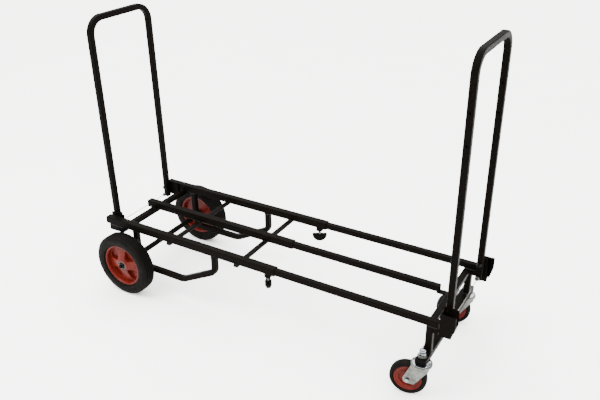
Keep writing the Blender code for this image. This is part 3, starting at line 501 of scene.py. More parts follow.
def straight_tube(node, body, axis, wall=THIN_WALL, corner=TUBE_CORNER):
    """A square tube with finely rounded corners in the place of a plain one."""
    low, high = corners(node)
    centre, size = (low + high) / 2, high - low
    index = "XY".index(axis)
    half = (AHEAD, ACROSS)[index] * size[index] / 2
    width, height = size.z, size[1 - index]
    inner = rounded(width - 2 * wall, height - 2 * wall, corner - wall)
    shape = bmesh.new()
    hollow_sweep(shape, [centre - half, centre, centre + half], rounded(width, height, corner), inner, UP)
    new_piece("fine_" + node, shape, body, COAT, (node,))


def cross_tube_cover(sign):
    """A plastic cover in one end of the rear cross tube."""
    low, high = corners("rear_cross_tube")
    bore = high.x - low.x - 2 * THIN_WALL - PLUG_FIT
    tip = Vector(((low.x + high.x) / 2, sign * (high.y - 0.0008), (low.z + high.z) / 2))
    bar("cross_tube_cover_%d" % (sign + 1), "rear_frame", PLASTIC, [tip, tip - ACROSS * sign * 0.006],
        rounded(bore, bore, PLUG_CORNER), UP, 0.0005)


for node in ("right_side_rail", "left_side_rail", "centre_rail"):
    straight_tube(node, "rear_frame", "X", RAIL_WALL)
straight_tube("rear_cross_tube", "rear_frame", "Y", corner=CROSS_CORNER)
for node in ("right_slider", "left_slider", "centre_slider"):
    straight_tube(node, "front_frame", "X")
straight_tube("front_cross_tube", "front_frame", "Y", corner=CROSS_CORNER)
for side, sign in SIDES:
    cross_tube_cover(sign)
straight_tube("low_cross_tube", "front_frame", "Y")
for node in ("tie_bar_1", "tie_bar_2"):
    straight_tube(node, "rear_frame", "Y", corner=TIE_CORNER)


def leg(side):
    """A square leg with the short block welded beside its top."""
    node = side + "_leg"
    low, high = corners(node)
    width = high.y - low.y
    x, y = low.x + width / 2, (low.y + high.y) / 2
    bar("fine_" + node, "front_frame", COAT, [Vector((x, y, low.z)), Vector((x, y, high.z))],
        rounded(width, width, BAR_CORNER), AHEAD, replaced=(node,))
    start, z = low.x + width - 0.0004, high.z - width / 2
    bar(side + "_gusset_block", "front_frame", COAT, [Vector((start, y, z)), Vector((high.x, y, z))],
        rounded(width - 0.001, width - 0.001, 0.0028), UP, 0.0012)


for side, sign in SIDES:
    leg(side)


# ------------------------------------------------------------------ skid loops
SKID_RUN, SKID_RISE = 0.139, 0.073        # how far the sloping stretch reaches, and how far it climbs
SKID_BENDS = (0.030, 0.060, 0.030)


def skid_loop(side):
    """A bent square tube with softly rounded edges."""
    node = side + "_skid_loop"
    low, high = corners(node)
    tube = high.y - low.y
    y, run = (low.y + high.y) / 2, low.z + tube / 2
    rear, front = low.x + tube / 2, high.x - tube / 2
    points = [Vector((rear, y, high.z)), Vector((rear, y, run)), Vector((front - SKID_RUN, y, run)),
              Vector((front, y, run + SKID_RISE)), Vector((front, y, high.z))]
    bar("fine_" + node, "rear_frame", COAT, bent_path(points, SKID_BENDS, 14),
        rounded(tube, tube, BAR_CORNER), ACROSS, replaced=(node,))


for side, sign in SIDES:
    skid_loop(side)


# ------------------------------------------------------------------ handles
HANDLE_BEND, HANDLE_CORNER = 0.050, 0.0034
PIVOT_HOLE, LOCK_HOLE, POST_HOLE = 0.0043, 0.0040, 0.0030        # radii
POST_HOLE_DROPS = (0.2295, 0.1460)        # below the top of the front handle


def handle(end):
    """A U of rounded square tube, bent smoothly, with holes in its posts and plugs in its feet."""
    node = end + "_handle"
    low, high = corners(node)
    tube = high.x - low.x
    bore = tube - 2 * THIN_WALL
    x, y, crest = (low.x + high.x) / 2, high.y - tube / 2, high.z - tube / 2
    points = [Vector((x, -y, low.z)), Vector((x, -y, crest)), Vector((x, y, crest)), Vector((x, y, low.z))]
    shape = bmesh.new()
    hollow_sweep(shape, bent_path(points, (HANDLE_BEND, HANDLE_BEND), 24), rounded(tube, tube, HANDLE_CORNER),
                 rounded(bore, bore, PLUG_CORNER), AHEAD)
    piece = new_piece("fine_" + node, shape, node, COAT, (node,))
    holes = [(PIVOT_Z[end], PIVOT_HOLE), (middle("right_%s_lock_pin" % end).z, LOCK_HOLE)]
    if end == "front":
        holes += [(high.z - drop, POST_HOLE) for drop in POST_HOLE_DROPS]
    cut(piece, [rod(Vector((x, sign * y, z)), ACROSS, radius, tube + 0.006)
                for z, radius in holes for _, sign in SIDES])
    for side, sign in SIDES:
        foot = Vector((x, sign * y, low.z))
        bar("%s_%s_foot_plug" % (side, end), node, PLASTIC, [foot + UP * 0.0004, foot + UP * 0.010],
            rounded(bore - PLUG_FIT, bore - PLUG_FIT, PLUG_CORNER), AHEAD, 0.0008)


handle("rear")
handle("front")


# ------------------------------------------------------------------ rear wheels
TYRE_SEAT, RIM_RADIUS, RIM_LIP, HUB_BORE, DISC_BORE = 0.0763, 0.0760, 0.0700, 0.0150, 0.0200
GROOVES = (0.60, 0.30, 0.0, -0.30, -0.60)                        # shares of the tyre's half width
GROOVE_DEPTH, GROOVE_TOP, GROOVE_FLOOR, CROWN_DROP = 0.0034, 0.0021, 0.0013, 0.0020
POCKETS, POCKET_TURN = 4, radians(52)
POCKET_INNER_ANGLE, POCKET_OUTER_ANGLE = radians(27), radians(52)
BEARING_FACE = 0.0196


def rear_tyre(side):
    """A ribbed solid tyre: smooth bulging walls and fine grooves round the tread."""
    node, seat = side + "_rear_tyre", TYRE_SEAT
    low, high = corners(node)
    radius, half = (high.z - low.z) / 2, (high.y - low.y) / 2
    wall = [(seat, half * 0.80), (seat + 0.0022, half * 0.93), (seat + 0.0060, half * 0.975),
            (seat + 0.0100, half * 0.995), (seat + 0.0160, half), (seat + 0.0215, half * 0.985),
            (seat + 0.0262, half * 0.945), (radius - 0.0072, half * 0.905), (radius - 0.0042, half * 0.840),
            (radius - 0.0025, half * 0.770)]
    tread = []
    for share in GROOVES:
        crown, height = radius - CROWN_DROP * abs(share) ** 2.5, share * half
        tread += [(crown - 0.0001, height + GROOVE_TOP), (crown - GROOVE_DEPTH, height + GROOVE_FLOOR),
                  (crown - GROOVE_DEPTH, height - GROOVE_FLOOR), (crown - 0.0001, height - GROOVE_TOP)]
    profile = wall + tread + [(r, -h) for r, h in reversed(wall)]
    turned("fine_" + node, side + "_rear_wheel", RUBBER, soft_profile(profile, 0.0006, 2), (low + high) / 2,
           ACROSS, 128, replaced=(node,), smooth=50)


def rear_rim(side, sign):
    """A red moulded rim: rolled lip, deep barrel and four broad spokes that rise to the hub."""
    node, body = side + "_rear_rim", side + "_rear_wheel"
    low, high = corners(node)
    centre, half = (low + high) / 2, (high.y - low.y) / 2
    outward = ACROSS * sign
    place = Matrix.Translation(centre) @ turn_to(outward)
    lip = RIM_LIP
    barrel = [(RIM_RADIUS, -half * 0.98), (RIM_RADIUS, half * 0.94), (RIM_RADIUS - 0.0012, half),
              (RIM_RADIUS - 0.0040, half), (lip + 0.0005, half * 0.95), (lip - 0.0012, half * 0.80),
              (lip - 0.0022, half * 0.42), (lip - 0.0032, -half * 0.30), (lip - 0.0010, -half * 0.90),
              (lip + 0.0020, -half * 0.98)]
    turned("fine_" + node, body, RED, soft_profile(barrel, 0.0012), centre, outward, 128, replaced=(node,),
           smooth=50)
    outer = lip - 0.0024
    web, floor_z, back_z = outer + 0.001, -0.0006, -0.0046
    turned(side + "_rim_floor", body, RED,
           [(DISC_BORE, floor_z), (web, floor_z), (web, back_z), (DISC_BORE, back_z)], centre, outward, 96)
    face = [(DISC_BORE, 0.0176), (0.0235, 0.0170), (0.0300, 0.0150), (0.0420, 0.0112), (0.0560, 0.0078),
            (web, 0.0056), (web, floor_z + 0.0002), (DISC_BORE, floor_z + 0.0002)]
    disc = bmesh.new()
    lathe(disc, soft_ring(face, 0.0012), centre, outward, 180, closed=True)
    piece = new_piece(side + "_rim_spokes", disc, body, RED)
    tools = []
    for index in range(POCKETS):
        turn = tau * index / POCKETS + POCKET_TURN
        spot = place.inverted() @ (centre + Vector((cos(turn), 0, sin(turn))))
        tool = bmesh.new()
        rings = []
        for height, scale in ((0.030, 1.10), (0.014, 1.05), (0.006, 1.0), (0.0, 0.95), (-0.010, 0.93)):
            outline = pocket_outline(0.0285, outer - 0.0042, POCKET_INNER_ANGLE * scale,
                                     POCKET_OUTER_ANGLE * scale, atan2(spot.y, spot.x))
            rings.append([tool.verts.new(place @ Vector((u, v, height))) for u, v in outline])
        ring_faces(tool, rings)
        tools.append(tool)
    cut(piece, tools)
    collar = [(HUB_BORE, 0.0190), (0.0212, 0.0190), (0.0222, 0.0180), (0.0226, -0.004), (HUB_BORE, -0.004)]
    turned(side + "_rim_hub", body, RED, soft_ring(collar, 0.0008), centre, outward, 96)


def pocket_outline(inner, outer, inner_angle, outer_angle, middle_angle):
    """A pocket between two spokes that widens outwards, with rounded corners and a curved outer side."""
    def polar(radius, angle):
        return Vector((radius * cos(angle), radius * sin(angle), 0))
    half_in, half_out = inner_angle / 2, outer_angle / 2
    corner_points = [polar(inner, middle_angle + half_in), polar(inner, middle_angle - half_in),
                     polar(outer, middle_angle - half_out), polar(outer, middle_angle + half_out)]
    points = []
    for index, here in enumerate(corner_points):
        radius = 0.0025 if index < 2 else 0.0045
        points += arc_corner(corner_points[index - 1], here, corner_points[(index + 1) % 4], radius, 5)
        if index == 2:
            first, last = middle_angle - half_out * 0.74, middle_angle + half_out * 0.74
            points += [polar(outer, first + (last - first) * step / 8) for step in range(1, 8)]
    return [(point.x, point.y) for point in points]


def wheel_bearing(side, sign):
    """A bearing in the hub: one ring with a groove in its face, and a dark shield in the groove."""
    node, body = side + "_wheel_bearing", side + "_rear_wheel"
    low, high = corners(node)
    centre, half = (low + high) / 2, (high.y - low.y) / 2
    edge = BEARING_FACE
    profile = [(0.0063, edge), (0.0080, edge), (0.0084, edge - 0.0010), (0.0128, edge - 0.0010),
               (0.0131, edge), (0.0143, edge), (0.0146, edge - 0.0008), (0.0146, -half), (0.0063, -half)]
    turned("fine_" + node, body, ZINC, soft_ring(profile, 0.0003, 2), centre, ACROSS * sign, 64,
           replaced=(node,))
    top, bottom = edge - 0.0004, edge - 0.0030
    turned(side + "_bearing_shield", body, PLASTIC,
           [(0.0083, top), (0.0129, top), (0.0129, bottom), (0.0083, bottom)], centre, ACROSS * sign, 64)


for side, sign in SIDES:
    rear_tyre(side)
    rear_rim(side, sign)
    wheel_bearing(side, sign)


def axle():
    """The axle bar, its spindles, and a push-on cap with a rim at each end."""
    low, high = corners("rear_axle")
    centre, half = (low + high) / 2, (high.y - low.y) / 2
    thick, thin = 0.0095, 0.0060
    tyre_low, tyre_high = corners("left_rear_tyre")
    inner, spindle = tyre_low.y - 0.003, tyre_high.y - 0.0048
    profile = mirrored([(0, half - 0.0008), (0.0016, half), (0.0042, half), (0.0056, half - 0.0012),
                        (thin, half - 0.0030), (thin, inner + 0.0015), (thick - 0.0008, inner + 0.0002),
                        (thick, inner - 0.0012)])
    turned("fine_rear_axle", "rear_frame", COAT, profile, centre, ACROSS, 40, False, ("rear_axle",))
    cap = soft_profile([(0.0061, -0.0010), (0.0090, -0.0010), (0.0090, 0.0004), (0.0076, 0.0018),
                        (0.0074, 0.0034), (0.0061, 0.0034)], 0.0005, 2)
    for side, sign in SIDES:
        turned(side + "_axle_push_cap", "rear_frame", BLACK_BOLT, cap, centre + ACROSS * sign * spindle,
               ACROSS * sign, 48)


axle()


# ------------------------------------------------------------------ casters
CASTER_RADIUS, CASTER_SEAT, CASTER_HALF, CASTER_RIM_HALF = 0.0546, 0.0413, 0.0134, 0.0108
TRAIL = 0.0345                            # from the swivel axis back to the wheel's axis
FORK_INNER, FORK_PLATE = 0.0151, 0.0025
CROWN_LOW, CROWN_HIGH, RACE_BOTTOM, RIVET_TOP = 0.1108, 0.1138, 0.1141, 0.1160


def spin_place(side):
    """The middle of a caster wheel and the direction of its axle."""
    joint = JOINTS[side + "_caster_spin"]
    return Vector(joint["pos_m"]), Vector(joint["axis"])


def swivel_place(side):
    """The point of a caster's swivel axis at the floor."""
    x, y, _ = JOINTS[side + "_caster_swivel"]["pos_m"]
    return Vector((x, y, 0))


def caster_tyre(side):
    """A caster tyre with rounded shoulders and a narrow crown."""
    node, half, radius, seat = side + "_caster_tyre", CASTER_HALF, CASTER_RADIUS, CASTER_SEAT
    centre, axis = spin_place(side)
    wall = [(seat, half * 0.82), (seat + 0.0010, half * 0.93), (seat + 0.0030, half * 0.99),
            (seat + 0.0060, half), (seat + 0.0088, half * 0.95), (radius - 0.0026, half * 0.85),
            (radius - 0.0010, half * 0.68), (radius - 0.0002, half * 0.40), (radius, half * 0.06)]
    turned("fine_" + node, side + "_caster_wheel", RUBBER, mirrored(wall), centre, axis, 112,
           replaced=(node,), smooth=50)


def caster_rim(side):
    """A red wheel centre with stepped rings and a hub."""
    node, half = side + "_caster_rim", CASTER_RIM_HALF
    centre, axis = spin_place(side)
    face = [(0.0045, half + 0.0012), (0.0096, half + 0.0012), (0.0104, half), (0.0120, half * 0.46),
            (0.0190, half * 0.30), (0.0262, half * 0.30), (0.0275, half * 0.62), (0.0292, half * 0.72),
            (0.0345, half * 0.78), (0.0362, half * 0.98), (0.0400, half * 1.06), (0.0410, half * 0.98)]
    turned("fine_" + node, side + "_caster_wheel", RED, soft_ring(mirrored(face), 0.0007), centre, axis, 96,
           replaced=(node,), smooth=50)


def caster_fork(side):
    """A pressed yoke: a turned crown with a rolled rim, and two tapering side plates."""
    node, body = side + "_caster_fork", side + "_caster_yoke"
    origin = swivel_place(side)
    axis = spin_place(side)[1]
    place = Matrix((axis.cross(UP), axis, UP)).transposed().to_4x4()
    place.translation = origin
    hub = CASTER_RADIUS
    plate = [Vector((u, v, 0)) for u, v in (
        (-0.0255, CROWN_HIGH - 0.001), (-TRAIL - 0.0135, hub + 0.006), (-TRAIL - 0.0110, hub - 0.0085),
        (-TRAIL + 0.0190, hub - 0.0130), (0.0245, CROWN_LOW - 0.010), (0.0255, CROWN_HIGH - 0.001))]
    outline = []
    for index, radius in enumerate((0.002, 0.010, 0.007, 0.006, 0.006, 0.002)):
        outline += arc_corner(plate[index - 1], plate[index], plate[(index + 1) % len(plate)], radius, 5)
    for label, sign in (("near", -1), ("far", 1)):
        low, high = sorted((sign * FORK_INNER, sign * (FORK_INNER + FORK_PLATE)))
        shape = bmesh.new()
        prism(shape, [(p.x, p.y) for p in outline], low, high, place @ UPRIGHT, 0.0004)
        new_piece("%s_%s_fork_plate" % (side, label), shape, body, ZINC)
    top, bottom = CROWN_HIGH, CROWN_LOW
    crown = [(0.0062, top), (0.0215, top), (0.0240, top - 0.0004), (0.0285, top - 0.0004),
             (0.0306, top - 0.0014), (0.0310, top - 0.0034), (0.0306, bottom - 0.0030),
             (0.0292, bottom - 0.0028), (0.0282, bottom), (0.0062, bottom)]
    turned("fine_" + node, body, ZINC, soft_ring(crown, 0.0006), origin, UP, 72, replaced=(node,))


def caster_bolt(side):
    """The caster's axle: a hexagon head, a nut, their washers and the shank between them."""
    node, body = side + "_caster_bolt", side + "_caster_yoke"
    centre, axis = spin_place(side)
    outer = FORK_INNER + FORK_PLATE
    turned("fine_" + node, body, ZINC,
           [(0, outer + 0.0035), (0.0036, outer + 0.0035), (0.0040, outer + 0.003), (0.0040, -outer - 0.001),
            (0, -outer - 0.001)], centre, axis, 32, False, (node,))
    washer = 0.0008
    for label, sign, turn in (("head", -1, 0.2), ("nut", 1, 0.5)):
        outward = axis * sign
        base = centre + outward * (outer + 0.0002)
        turned("%s_caster_%s_washer" % (side, label), body, ZINC,
               [(0, 0), (0.0078, 0), (0.0078, washer), (0, washer)], base, outward, 40, False)
        hex_piece("%s_caster_%s" % (side, label), body, CHROME, base + outward * washer, outward,
                  0.0122, 0.0038, turn)


def kingpin(side):
    """The fixed part of the swivel: ball-race cover, rivet, washers, and a tall domed nut."""
    node, body = side + "_kingpin", "front_frame"
    low, high = corners(node)
    origin = swivel_place(side)
    tube_low, tube_high = corners("low_cross_tube")
    top, bottom, bore = tube_low.z - 0.0003, RACE_BOTTOM, 0.0060
    race = [(bore, top), (0.0175, top), (0.0195, top - 0.0006), (0.0262, bottom + 0.0016),
            (0.0266, bottom + 0.0004), (0.0255, bottom), (bore, bottom)]
    turned("fine_" + node, body, CHROME, soft_ring(race, 0.0006), origin, UP, 72, replaced=(node,))
    rivet = [(0, low.z), (0.0075, low.z), (0.0098, low.z + 0.0016), (0.0100, low.z + 0.0038),
             (bore, low.z + 0.0039), (bore, RIVET_TOP), (0, RIVET_TOP)]
    turned(side + "_caster_rivet", body, ZINC, soft_profile(rivet, 0.0006), origin, UP, 40, False)
    base = tube_high.z
    for index, (radius, start, thick) in enumerate(((0.0140, 0.0001, 0.0016), (0.0112, 0.0018, 0.0022))):
        under, over = base + start, base + start + thick
        flat = radius - 0.0003
        washer = [(bore, over), (flat, over), (radius, under + thick / 2), (flat, under), (bore, under)]
        turned("%s_caster_washer_%d" % (side, index), body, ZINC, soft_profile(washer, 0.0003, 2), origin,
               UP, 48)
    nut_base = base + 0.0041
    hex_piece(side + "_dome_nut_hexagon", body, CHROME, origin + UP * nut_base, UP, 0.0190, 0.0080,
              0.35 + 0.4 * (side == "left"))
    radius = 0.0092
    ball = high.z - radius
    dome = [(radius * cos(pi / 2 * s / 10), ball + radius * sin(pi / 2 * s / 10)) for s in range(-6, 10)]
    dome = [(dome[0][0], nut_base + 0.0070)] + dome + [(0, high.z)]
    turned(side + "_dome_nut", body, CHROME, dome, origin, UP, 48, False)


for side, sign in SIDES:
    caster_tyre(side)
    caster_rim(side)
    caster_fork(side)
    caster_bolt(side)
    kingpin(side)


# ------------------------------------------------------------------ clamp knobs
KNOB_TURN = {"right": radians(125), "left": radians(29)}
KNOB_HALF, KNOB_DEPTH, KNOB_THICK = 0.025, 0.0265, 0.0150
THREAD_PITCH, STUD_RADIUS, BOSS_BORE = 0.00125, 0.0040, 0.0043


def clamp(side):
    """A wing knob with a round collar, on a stud ringed like a thread, that runs in a boss."""
    knob, stud, boss = side + "_wing_knob", side + "_clamp_stud", side + "_clamp_boss"
    body = side + "_clamp"
    x, y, _ = JOINTS[side + "_clamp_turn"]["pos_m"]
    origin, top = Vector((x, y, 0)), corners(knob)[1].z
    place = Matrix.Translation(Vector((x, y, top))) @ Matrix.Rotation(KNOB_TURN[side], 4, "Z")
    steps = 28
    arc = [(KNOB_HALF * cos(pi * s / steps), -KNOB_DEPTH * sin(pi * s / steps)) for s in range(1, steps)]
    outline = [(KNOB_HALF * 0.96, -0.0004)] + arc + [(-KNOB_HALF * 0.96, -0.0004)]
    shape = bmesh.new()
    prism(shape, outline, -KNOB_THICK / 2, KNOB_THICK / 2, place @ UPRIGHT, 0.0024)
    new_piece("fine_" + knob, shape, body, PLASTIC, (knob,))
    collar = [(BOSS_BORE, 0.0), (0.0085, 0.0), (0.0108, -0.0030), (0.0108, -0.0200), (BOSS_BORE, -0.0200)]
    turned(side + "_knob_collar", body, PLASTIC, soft_profile(collar), Vector((x, y, top - 0.00005)), UP, 40)
    low, high = corners(stud)
    root = STUD_RADIUS - 0.0006
    thread = [(0, low.z), (STUD_RADIUS - 0.0005, low.z)]
    for index in range(int((high.z - low.z - 0.001) / THREAD_PITCH)):
        base = low.z + 0.0004 + index * THREAD_PITCH
        thread += [(root, base)] + [(STUD_RADIUS, base + THREAD_PITCH * share) for share in (0.45, 0.55)]
    thread += [(root, high.z), (0, high.z)]
    turned("fine_" + stud, body, ZINC, thread, origin, UP, 28, False, (stud,), 60)
    low, high = corners(boss)
    outer = (high.x - low.x) / 2
    sleeve = [(BOSS_BORE, high.z), (outer, high.z), (outer, low.z), (BOSS_BORE, low.z)]
    turned("fine_" + boss, "rear_frame", COAT, soft_ring(sleeve, 0.0008), origin, UP, 48, replaced=(boss,))


for side, sign in SIDES:
    clamp(side)


# ------------------------------------------------------------------ handle hardware
BOLT_ACROSS = 0.0128


def handle_axis(node):
    """The line of a pin or bolt: its start in the middle plane, and its inner and outer ends."""
    low, high = corners(node)
    ends = sorted((abs(low.y), abs(high.y)))
    return Vector(((low.x + high.x) / 2, 0, (low.z + high.z) / 2)), ends[0], ends[1]


def lock_pin(side, end, sign):
    """A spring pin: a pointed shank, a collar, and a thin tail that takes the wire."""
    node = "%s_%s_lock_pin" % (side, end)
    origin, eye, tip = handle_axis(node)
    handle_low, handle_high = corners(end + "_handle")
    head = handle_high.y - (handle_high.x - handle_low.x) - 0.0086
    profile = [(0, tip), (0.0024, tip), (0.0037, tip - 0.0022), (0.0037, head), (0.0068, head),
               (0.0070, head - 0.0006), (0.0070, head - 0.0034), (0.0066, head - 0.0040),
               (0.0026, head - 0.0040), (0.0024, eye), (0, eye)]
    turned("fine_" + node, node, ZINC, profile, origin, ACROSS * sign, 36, False, (node,))


def pivot_bolt(side, end, sign):
    """A hexagon bolt from the bracket into the handle, with a lock nut inside."""
    node, body = "%s_%s_pivot_bolt" % (side, end), end + "_frame"
    outward = ACROSS * sign
    origin, inner, outer = handle_axis(node)
    shank = [(0, outer - 0.001), (0.0039, outer - 0.001), (0.0039, inner + 0.0006), (0.0034, inner),
             (0, inner)]
    turned("fine_" + node, body, BLACK_BOLT, shank, origin, outward, 28, False, (node,))
    hex_piece(node + "_head", body, BLACK_BOLT, origin + outward * (outer - 0.0042), outward,
              BOLT_ACROSS, 0.0042, 0.2)
    start = inner + 0.0035
    hex_piece(node + "_nut", body, BLACK_BOLT, origin + outward * start, outward, BOLT_ACROSS, 0.0056, 0.55)
    near, far = start + 0.0057, start + 0.0066
    turned(node + "_washer", body, BLACK_BOLT, [(0.0042, near), (0.0076, near), (0.0076, far), (0.0042, far)],
           origin, outward, 40)


for end in ("rear", "front"):
    for side, sign in SIDES:
        lock_pin(side, end, sign)
        pivot_bolt(side, end, sign)


WIRE_RADIUS = 0.0011
# each wire's ferrule place across the cart, its sag there, and how far the two strands hang apart
WIRES = {"rear": (0.030, 0.0020, 0.0035), "front": (0.026, 0.0090, 0.0150)}


def smooth_route(points, steps=8):
    """A smooth curve through points."""
    route = []
    ends = [points[0] * 2 - points[1]] + points + [points[-1] * 2 - points[-2]]
    for a, b, c, d in zip(ends, ends[1:], ends[2:], ends[3:]):
        for step in range(steps):
            t = step / steps
            route.append(0.5 * (2 * b + (c - a) * t + (2 * a - 5 * b + 4 * c - d) * t * t
                                + (3 * b - a - 3 * c + d) * t * t * t))
    route.append(points[-1])
    return route


def pull_wire(end):
    """Wire rope from pin to pin: one strand to a ferrule, then a loop of two strands."""
    node, body = end + "_pull_wire", end + "_handle"
    low, high = corners(node)
    centre, reach = (low + high) / 2, (high.y - low.y) / 2
    ferrule, drop, spread = WIRES[end]

    def at(y, z, x=0.0):
        return Vector((centre.x + x, y, centre.z + z))

    shape = bmesh.new()
    single = [at(ferrule, -drop), at((ferrule + reach) / 2, -drop * 0.9), at(reach - 0.012, -drop * 0.3),
              at(reach, 0)]
    solid_sweep(shape, smooth_route(single), circle(WIRE_RADIUS, 12), UP)
    for way, hang in ((1, 0.0), (-1, spread)):
        strand = [at(ferrule, -drop), at(ferrule - 0.020, -drop - hang * 0.20, way * 0.0006),
                  at(-reach * 0.35, -drop * 0.75 - hang * 0.60, way * 0.0012),
                  at(-reach * 0.70, -drop * 0.45 - hang * 0.85, way * 0.0014),
                  at(-reach * 0.90, -drop * 0.25 - hang * 0.50, way * 0.0012), at(-reach, 0)]
        solid_sweep(shape, smooth_route(strand), circle(WIRE_RADIUS * 0.9, 10), UP)
    new_piece("fine_" + node, shape, body, WIRE, (node,), 60)
    sleeve = [(0, 0.006), (0.0022, 0.006), (0.0024, 0.0), (0.0022, -0.006), (0, -0.006)]
    turned(end + "_wire_ferrule", body, BLACK_BOLT, soft_profile(sleeve, 0.0004, 2), at(ferrule, -drop),
           ACROSS, 24, False)


pull_wire("rear")
pull_wire("front")


# ------------------------------------------------------------------ welds
def bead(shape, path, radius, seed, closed=False):
    """One weld bead: an uneven, rippled thread of metal along a joint."""
    length = sum((b - a).length for a, b in zip(path, path[1:]))
    steps = max(6, int(length / 0.0011))
    points, sizes = [], []
    for step in range(steps + 1):
        share = step / steps * (len(path) - 1)
        index = min(int(share), len(path) - 2)
        point = path[index].lerp(path[index + 1], share - index)
        wobble = noise.noise_vector(point * 260 + Vector((seed, 0, 0)))
        ripple = 1 + 0.16 * sin(step * 2.1) + 0.22 * wobble.x
        ends = 1.0 if closed else min(1.0, 0.35 + min(step, steps - step) * 0.5)
        points.append(point + wobble * radius * 0.12)
        sizes.append(ripple * ends)
    side = UP if abs((path[-1] - path[0]).normalized().z) < 0.8 else AHEAD
    ring_faces(shape, sweep_rings(shape, points, circle(radius, 10), side, sizes))


def bead_along(shape, start, stop, y, z, radius, seed):
    """A bead along the cart between two places in X."""
    bead(shape, [Vector((start, y, z)), Vector((stop, y, z))], radius, seed)


def bead_across(shape, x, low_y, high_y, z, radius, seed):
    """A bead across the cart between two places in Y."""
    bead(shape, [Vector((x, low_y, z)), Vector((x, high_y, z))], radius, seed)


def tie_beads(shape, y, z, seed):
    """The beads at one height and side where both ties pass under a rail."""
    for tie in ("tie_bar_1", "tie_bar_2"):
        low, high = corners(tie)
        bead_along(shape, low.x + 0.001, high.x - 0.001, y, z - 0.001, 0.0015, seed)


def rear_welds():
    """Beads where ties, cross tube, loops and brackets meet the rails."""
    shape = bmesh.new()
    z, half = RAIL_BOTTOM, RAIL_HALF
    cross_low, cross_high = corners("rear_cross_tube")
    cross = cross_low.x + 0.001, cross_high.x - 0.001
    for side, sign in SIDES:
        for edge in (-1, 1):
            y = sign * RAIL_Y + edge * (half - 0.0008)
            bead_along(shape, *cross, y, z, 0.0016, sign + edge)
            tie_beads(shape, y, z, edge * 3)
        low, high = corners(side + "_skid_loop")
        tube = high.y - low.y
        for x in (low.x + tube / 2, high.x - tube / 2):
            middle_y = (low.y + high.y) / 2
            ring = [Vector((x + u, middle_y + v, z - 0.0004)) for u, v in rounded(tube, tube, 0.003, 2)]
            bead(shape, ring + ring[:1], 0.0014, x * 40, True)
        low, high = corners(side + "_rear_bracket")
        bead_along(shape, low.x + 0.016, high.x - 0.002, sign * (RAIL_Y + half - 0.0008), z, 0.0013, 7 * sign)
        bead_along(shape, high.x, high.x - 0.03, sign * (RAIL_Y - half), z + 0.001, 0.0013, 9 * sign)
    for edge in (-1, 1):
        y = edge * (half - 0.0008)
        bead_along(shape, *cross, y, z, 0.0016, 5 + edge)
        tie_beads(shape, y, z, edge * 6)
    new_piece("rear_frame_welds", shape, "rear_frame", WELD, (), 70)


def front_welds():
    """Beads round the legs, the cross tube, the tongue and the front brackets."""
    shape = bmesh.new()
    z, top = SLIDER_LOW.z, SLIDER_HIGH.z
    for side, sign in SIDES:
        rail_y = sign * RAIL_Y
        low, high = corners("front_cross_tube")
        bead_along(shape, low.x + 0.001, high.x + 0.003, sign * (RAIL_Y - 0.0100), z - 0.0003, 0.0020, sign)
        low, high = corners(side + "_leg")
        for edge in (-1, 1):
            y = rail_y + edge * 0.0096
            bead_along(shape, low.x + 0.001, high.x - 0.002, y, z, 0.0013, edge)
            bead_along(shape, low.x + 0.001, low.x + 0.019, y, low.z, 0.0015, edge + 3)
        for x in (low.x, low.x + 0.020):
            bead_across(shape, x, rail_y - 0.009, rail_y + 0.009, low.z, 0.0015, x * 9)
        x = corners(side + "_front_bracket")[0].x - 0.0002
        for edge in (-1, 1):
            y = rail_y + edge * 0.0098
            bead(shape, [Vector((x, y, z + 0.001)), Vector((x, y, top - 0.001))], 0.0013, edge + 11)
        bead_across(shape, x, rail_y - 0.009, rail_y + 0.009, top, 0.0013, 17)
    low, high = corners("centre_tongue")
    for edge in (-1, 1):
        bead_along(shape, low.x + 0.001, corners("centre_slider")[1].x, edge * 0.0092, z, 0.0013, 21 + edge)
    bead_across(shape, high.x + 0.0003, low.y, high.y, high.z - 0.002, 0.0018, 31)
    new_piece("front_frame_welds", shape, "front_frame", WELD, (), 70)


rear_welds()
front_welds()


# ------------------------------------------------------------------ small pieces
def small_bolt(name, body, centre, axis, across, thick):
    """A hexagon head on a washer."""
    shape = bmesh.new()
    radius = across * 0.72
    lathe(shape, [(0, 0), (radius, 0), (radius, 0.0007), (0, 0.0007)], centre, axis, 32)
    hexagon(shape, centre + axis * 0.0006, axis, across, thick, 0.3)
    new_piece(name, shape, body, ZINC)


centre_low = corners("centre_rail")[0]
small_bolt("centre_rail_bolt", "rear_frame", centre_low + Vector((0.0135, 0, 0.0040)), -ACROSS,
           0.0055, 0.0016)
tongue_low = corners("centre_tongue")[0]
small_bolt("tongue_bolt", "front_frame", Vector((tongue_low.x + 0.009, 0, tongue_low.z)), -UP, 0.0100, 0.0035)

# ------------------------------------------------------------------ looks of the remaining frame nodes
for node, piece in frame["nodes"].items():
    piece.data.materials.clear()
    piece.data.materials.append(BY_SLOT[SLOTS[node]])

# ------------------------------------------------------------------ floor, light and camera
FLOOR_HALF, FLOOR_Z = 40.0, -0.0003
ORIGIN_X = 0.61395                        # the frame's origin, from the middle of the rear handle
CAMERA_PLACE = Vector((1.6638 - ORIGIN_X, -1.6543, 1.4138))
CAMERA_LENS, CAMERA_SENSOR = 41.72, 36.0
AZIMUTH, ELEVATION, ROLL = radians(-30.95), radians(27.46), radians(-0.83)


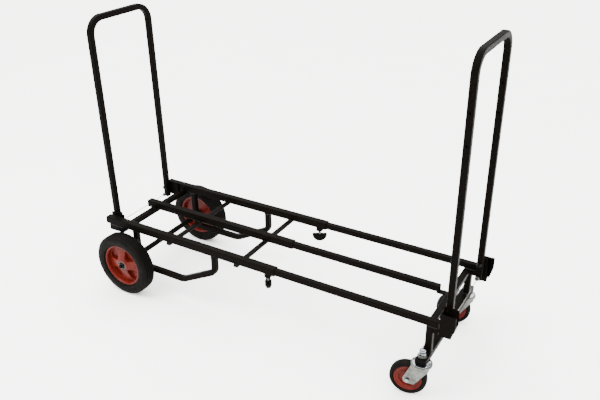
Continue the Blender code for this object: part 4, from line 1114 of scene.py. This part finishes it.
def stage():
    """A pale floor."""
    shape = bmesh.new()
    shape.faces.new([shape.verts.new((u * FLOOR_HALF, v * FLOOR_HALF, FLOOR_Z))
                     for u, v in ((-1, -1), (1, -1), (1, 1), (-1, 1))])
    mesh = bpy.data.meshes.new("floor")
    shape.to_mesh(mesh)
    shape.free()
    floor = bpy.data.objects.new("floor", mesh)
    bpy.context.scene.collection.objects.link(floor)
    look = Nodes("floor_paper", (0.90, 0.90, 0.89), 0.9, specular=0.1)
    look.colour(look.noise(3, 2), (0.89, 0.89, 0.88), (0.91, 0.91, 0.90))
    mesh.materials.append(look.material)


def studio(low, high):
    """A studio dome: dim walls under a broad bright ceiling."""
    world = bpy.data.worlds.new("studio")
    world.use_nodes = True
    tree = world.node_tree
    background = tree.nodes["Background"]
    where = tree.nodes.new("ShaderNodeTexCoord")
    parts = tree.nodes.new("ShaderNodeSeparateXYZ")
    ramp = tree.nodes.new("ShaderNodeMapRange")
    ramp.interpolation_type = "SMOOTHSTEP"
    for name, value in (("From Min", 0.10), ("From Max", 0.75), ("To Min", low), ("To Max", high)):
        ramp.inputs[name].default_value = value
    tree.links.new(where.outputs["Generated"], parts.inputs["Vector"])
    tree.links.new(parts.outputs["Z"], ramp.inputs["Value"])
    tree.links.new(ramp.outputs["Result"], background.inputs["Strength"])
    background.inputs["Color"].default_value = (1.0, 0.99, 0.98, 1)
    bpy.context.scene.world = world


def soft_light(name, place, target, size, power):
    """A square area light that faces a point."""
    data = bpy.data.lights.new(name, "AREA")
    data.shape = "SQUARE"
    data.size = size
    data.energy = power
    lamp = bpy.data.objects.new(name, data)
    lamp.location = place
    lamp.rotation_euler = (Vector(target) - Vector(place)).to_track_quat("-Z", "Y").to_euler()
    bpy.context.scene.collection.objects.link(lamp)


def camera():
    """The camera at the reference view."""
    data = bpy.data.cameras.new("camera")
    data.lens = CAMERA_LENS
    data.sensor_width = CAMERA_SENSOR
    data.clip_end = 200
    ahead = Vector((sin(AZIMUTH) * cos(ELEVATION), cos(AZIMUTH) * cos(ELEVATION), -sin(ELEVATION)))
    right = ahead.cross(UP).normalized()
    above = right.cross(ahead)
    turned_right = right * cos(ROLL) + above * sin(ROLL)
    turned_up = above * cos(ROLL) - right * sin(ROLL)
    place = Matrix((turned_right, turned_up, -ahead)).transposed().to_4x4()
    place.translation = CAMERA_PLACE
    piece = bpy.data.objects.new("camera", data)
    piece.matrix_world = place
    bpy.context.scene.collection.objects.link(piece)
    bpy.context.scene.camera = piece


stage()
studio(0.5, 8.0)
soft_light("key", (-1.2, -1.4, 2.6), (0, 0, 0.3), 1.2, 90)
soft_light("fill", (2.2, -0.6, 1.8), (0.2, 0, 0.4), 1.2, 9)
camera()
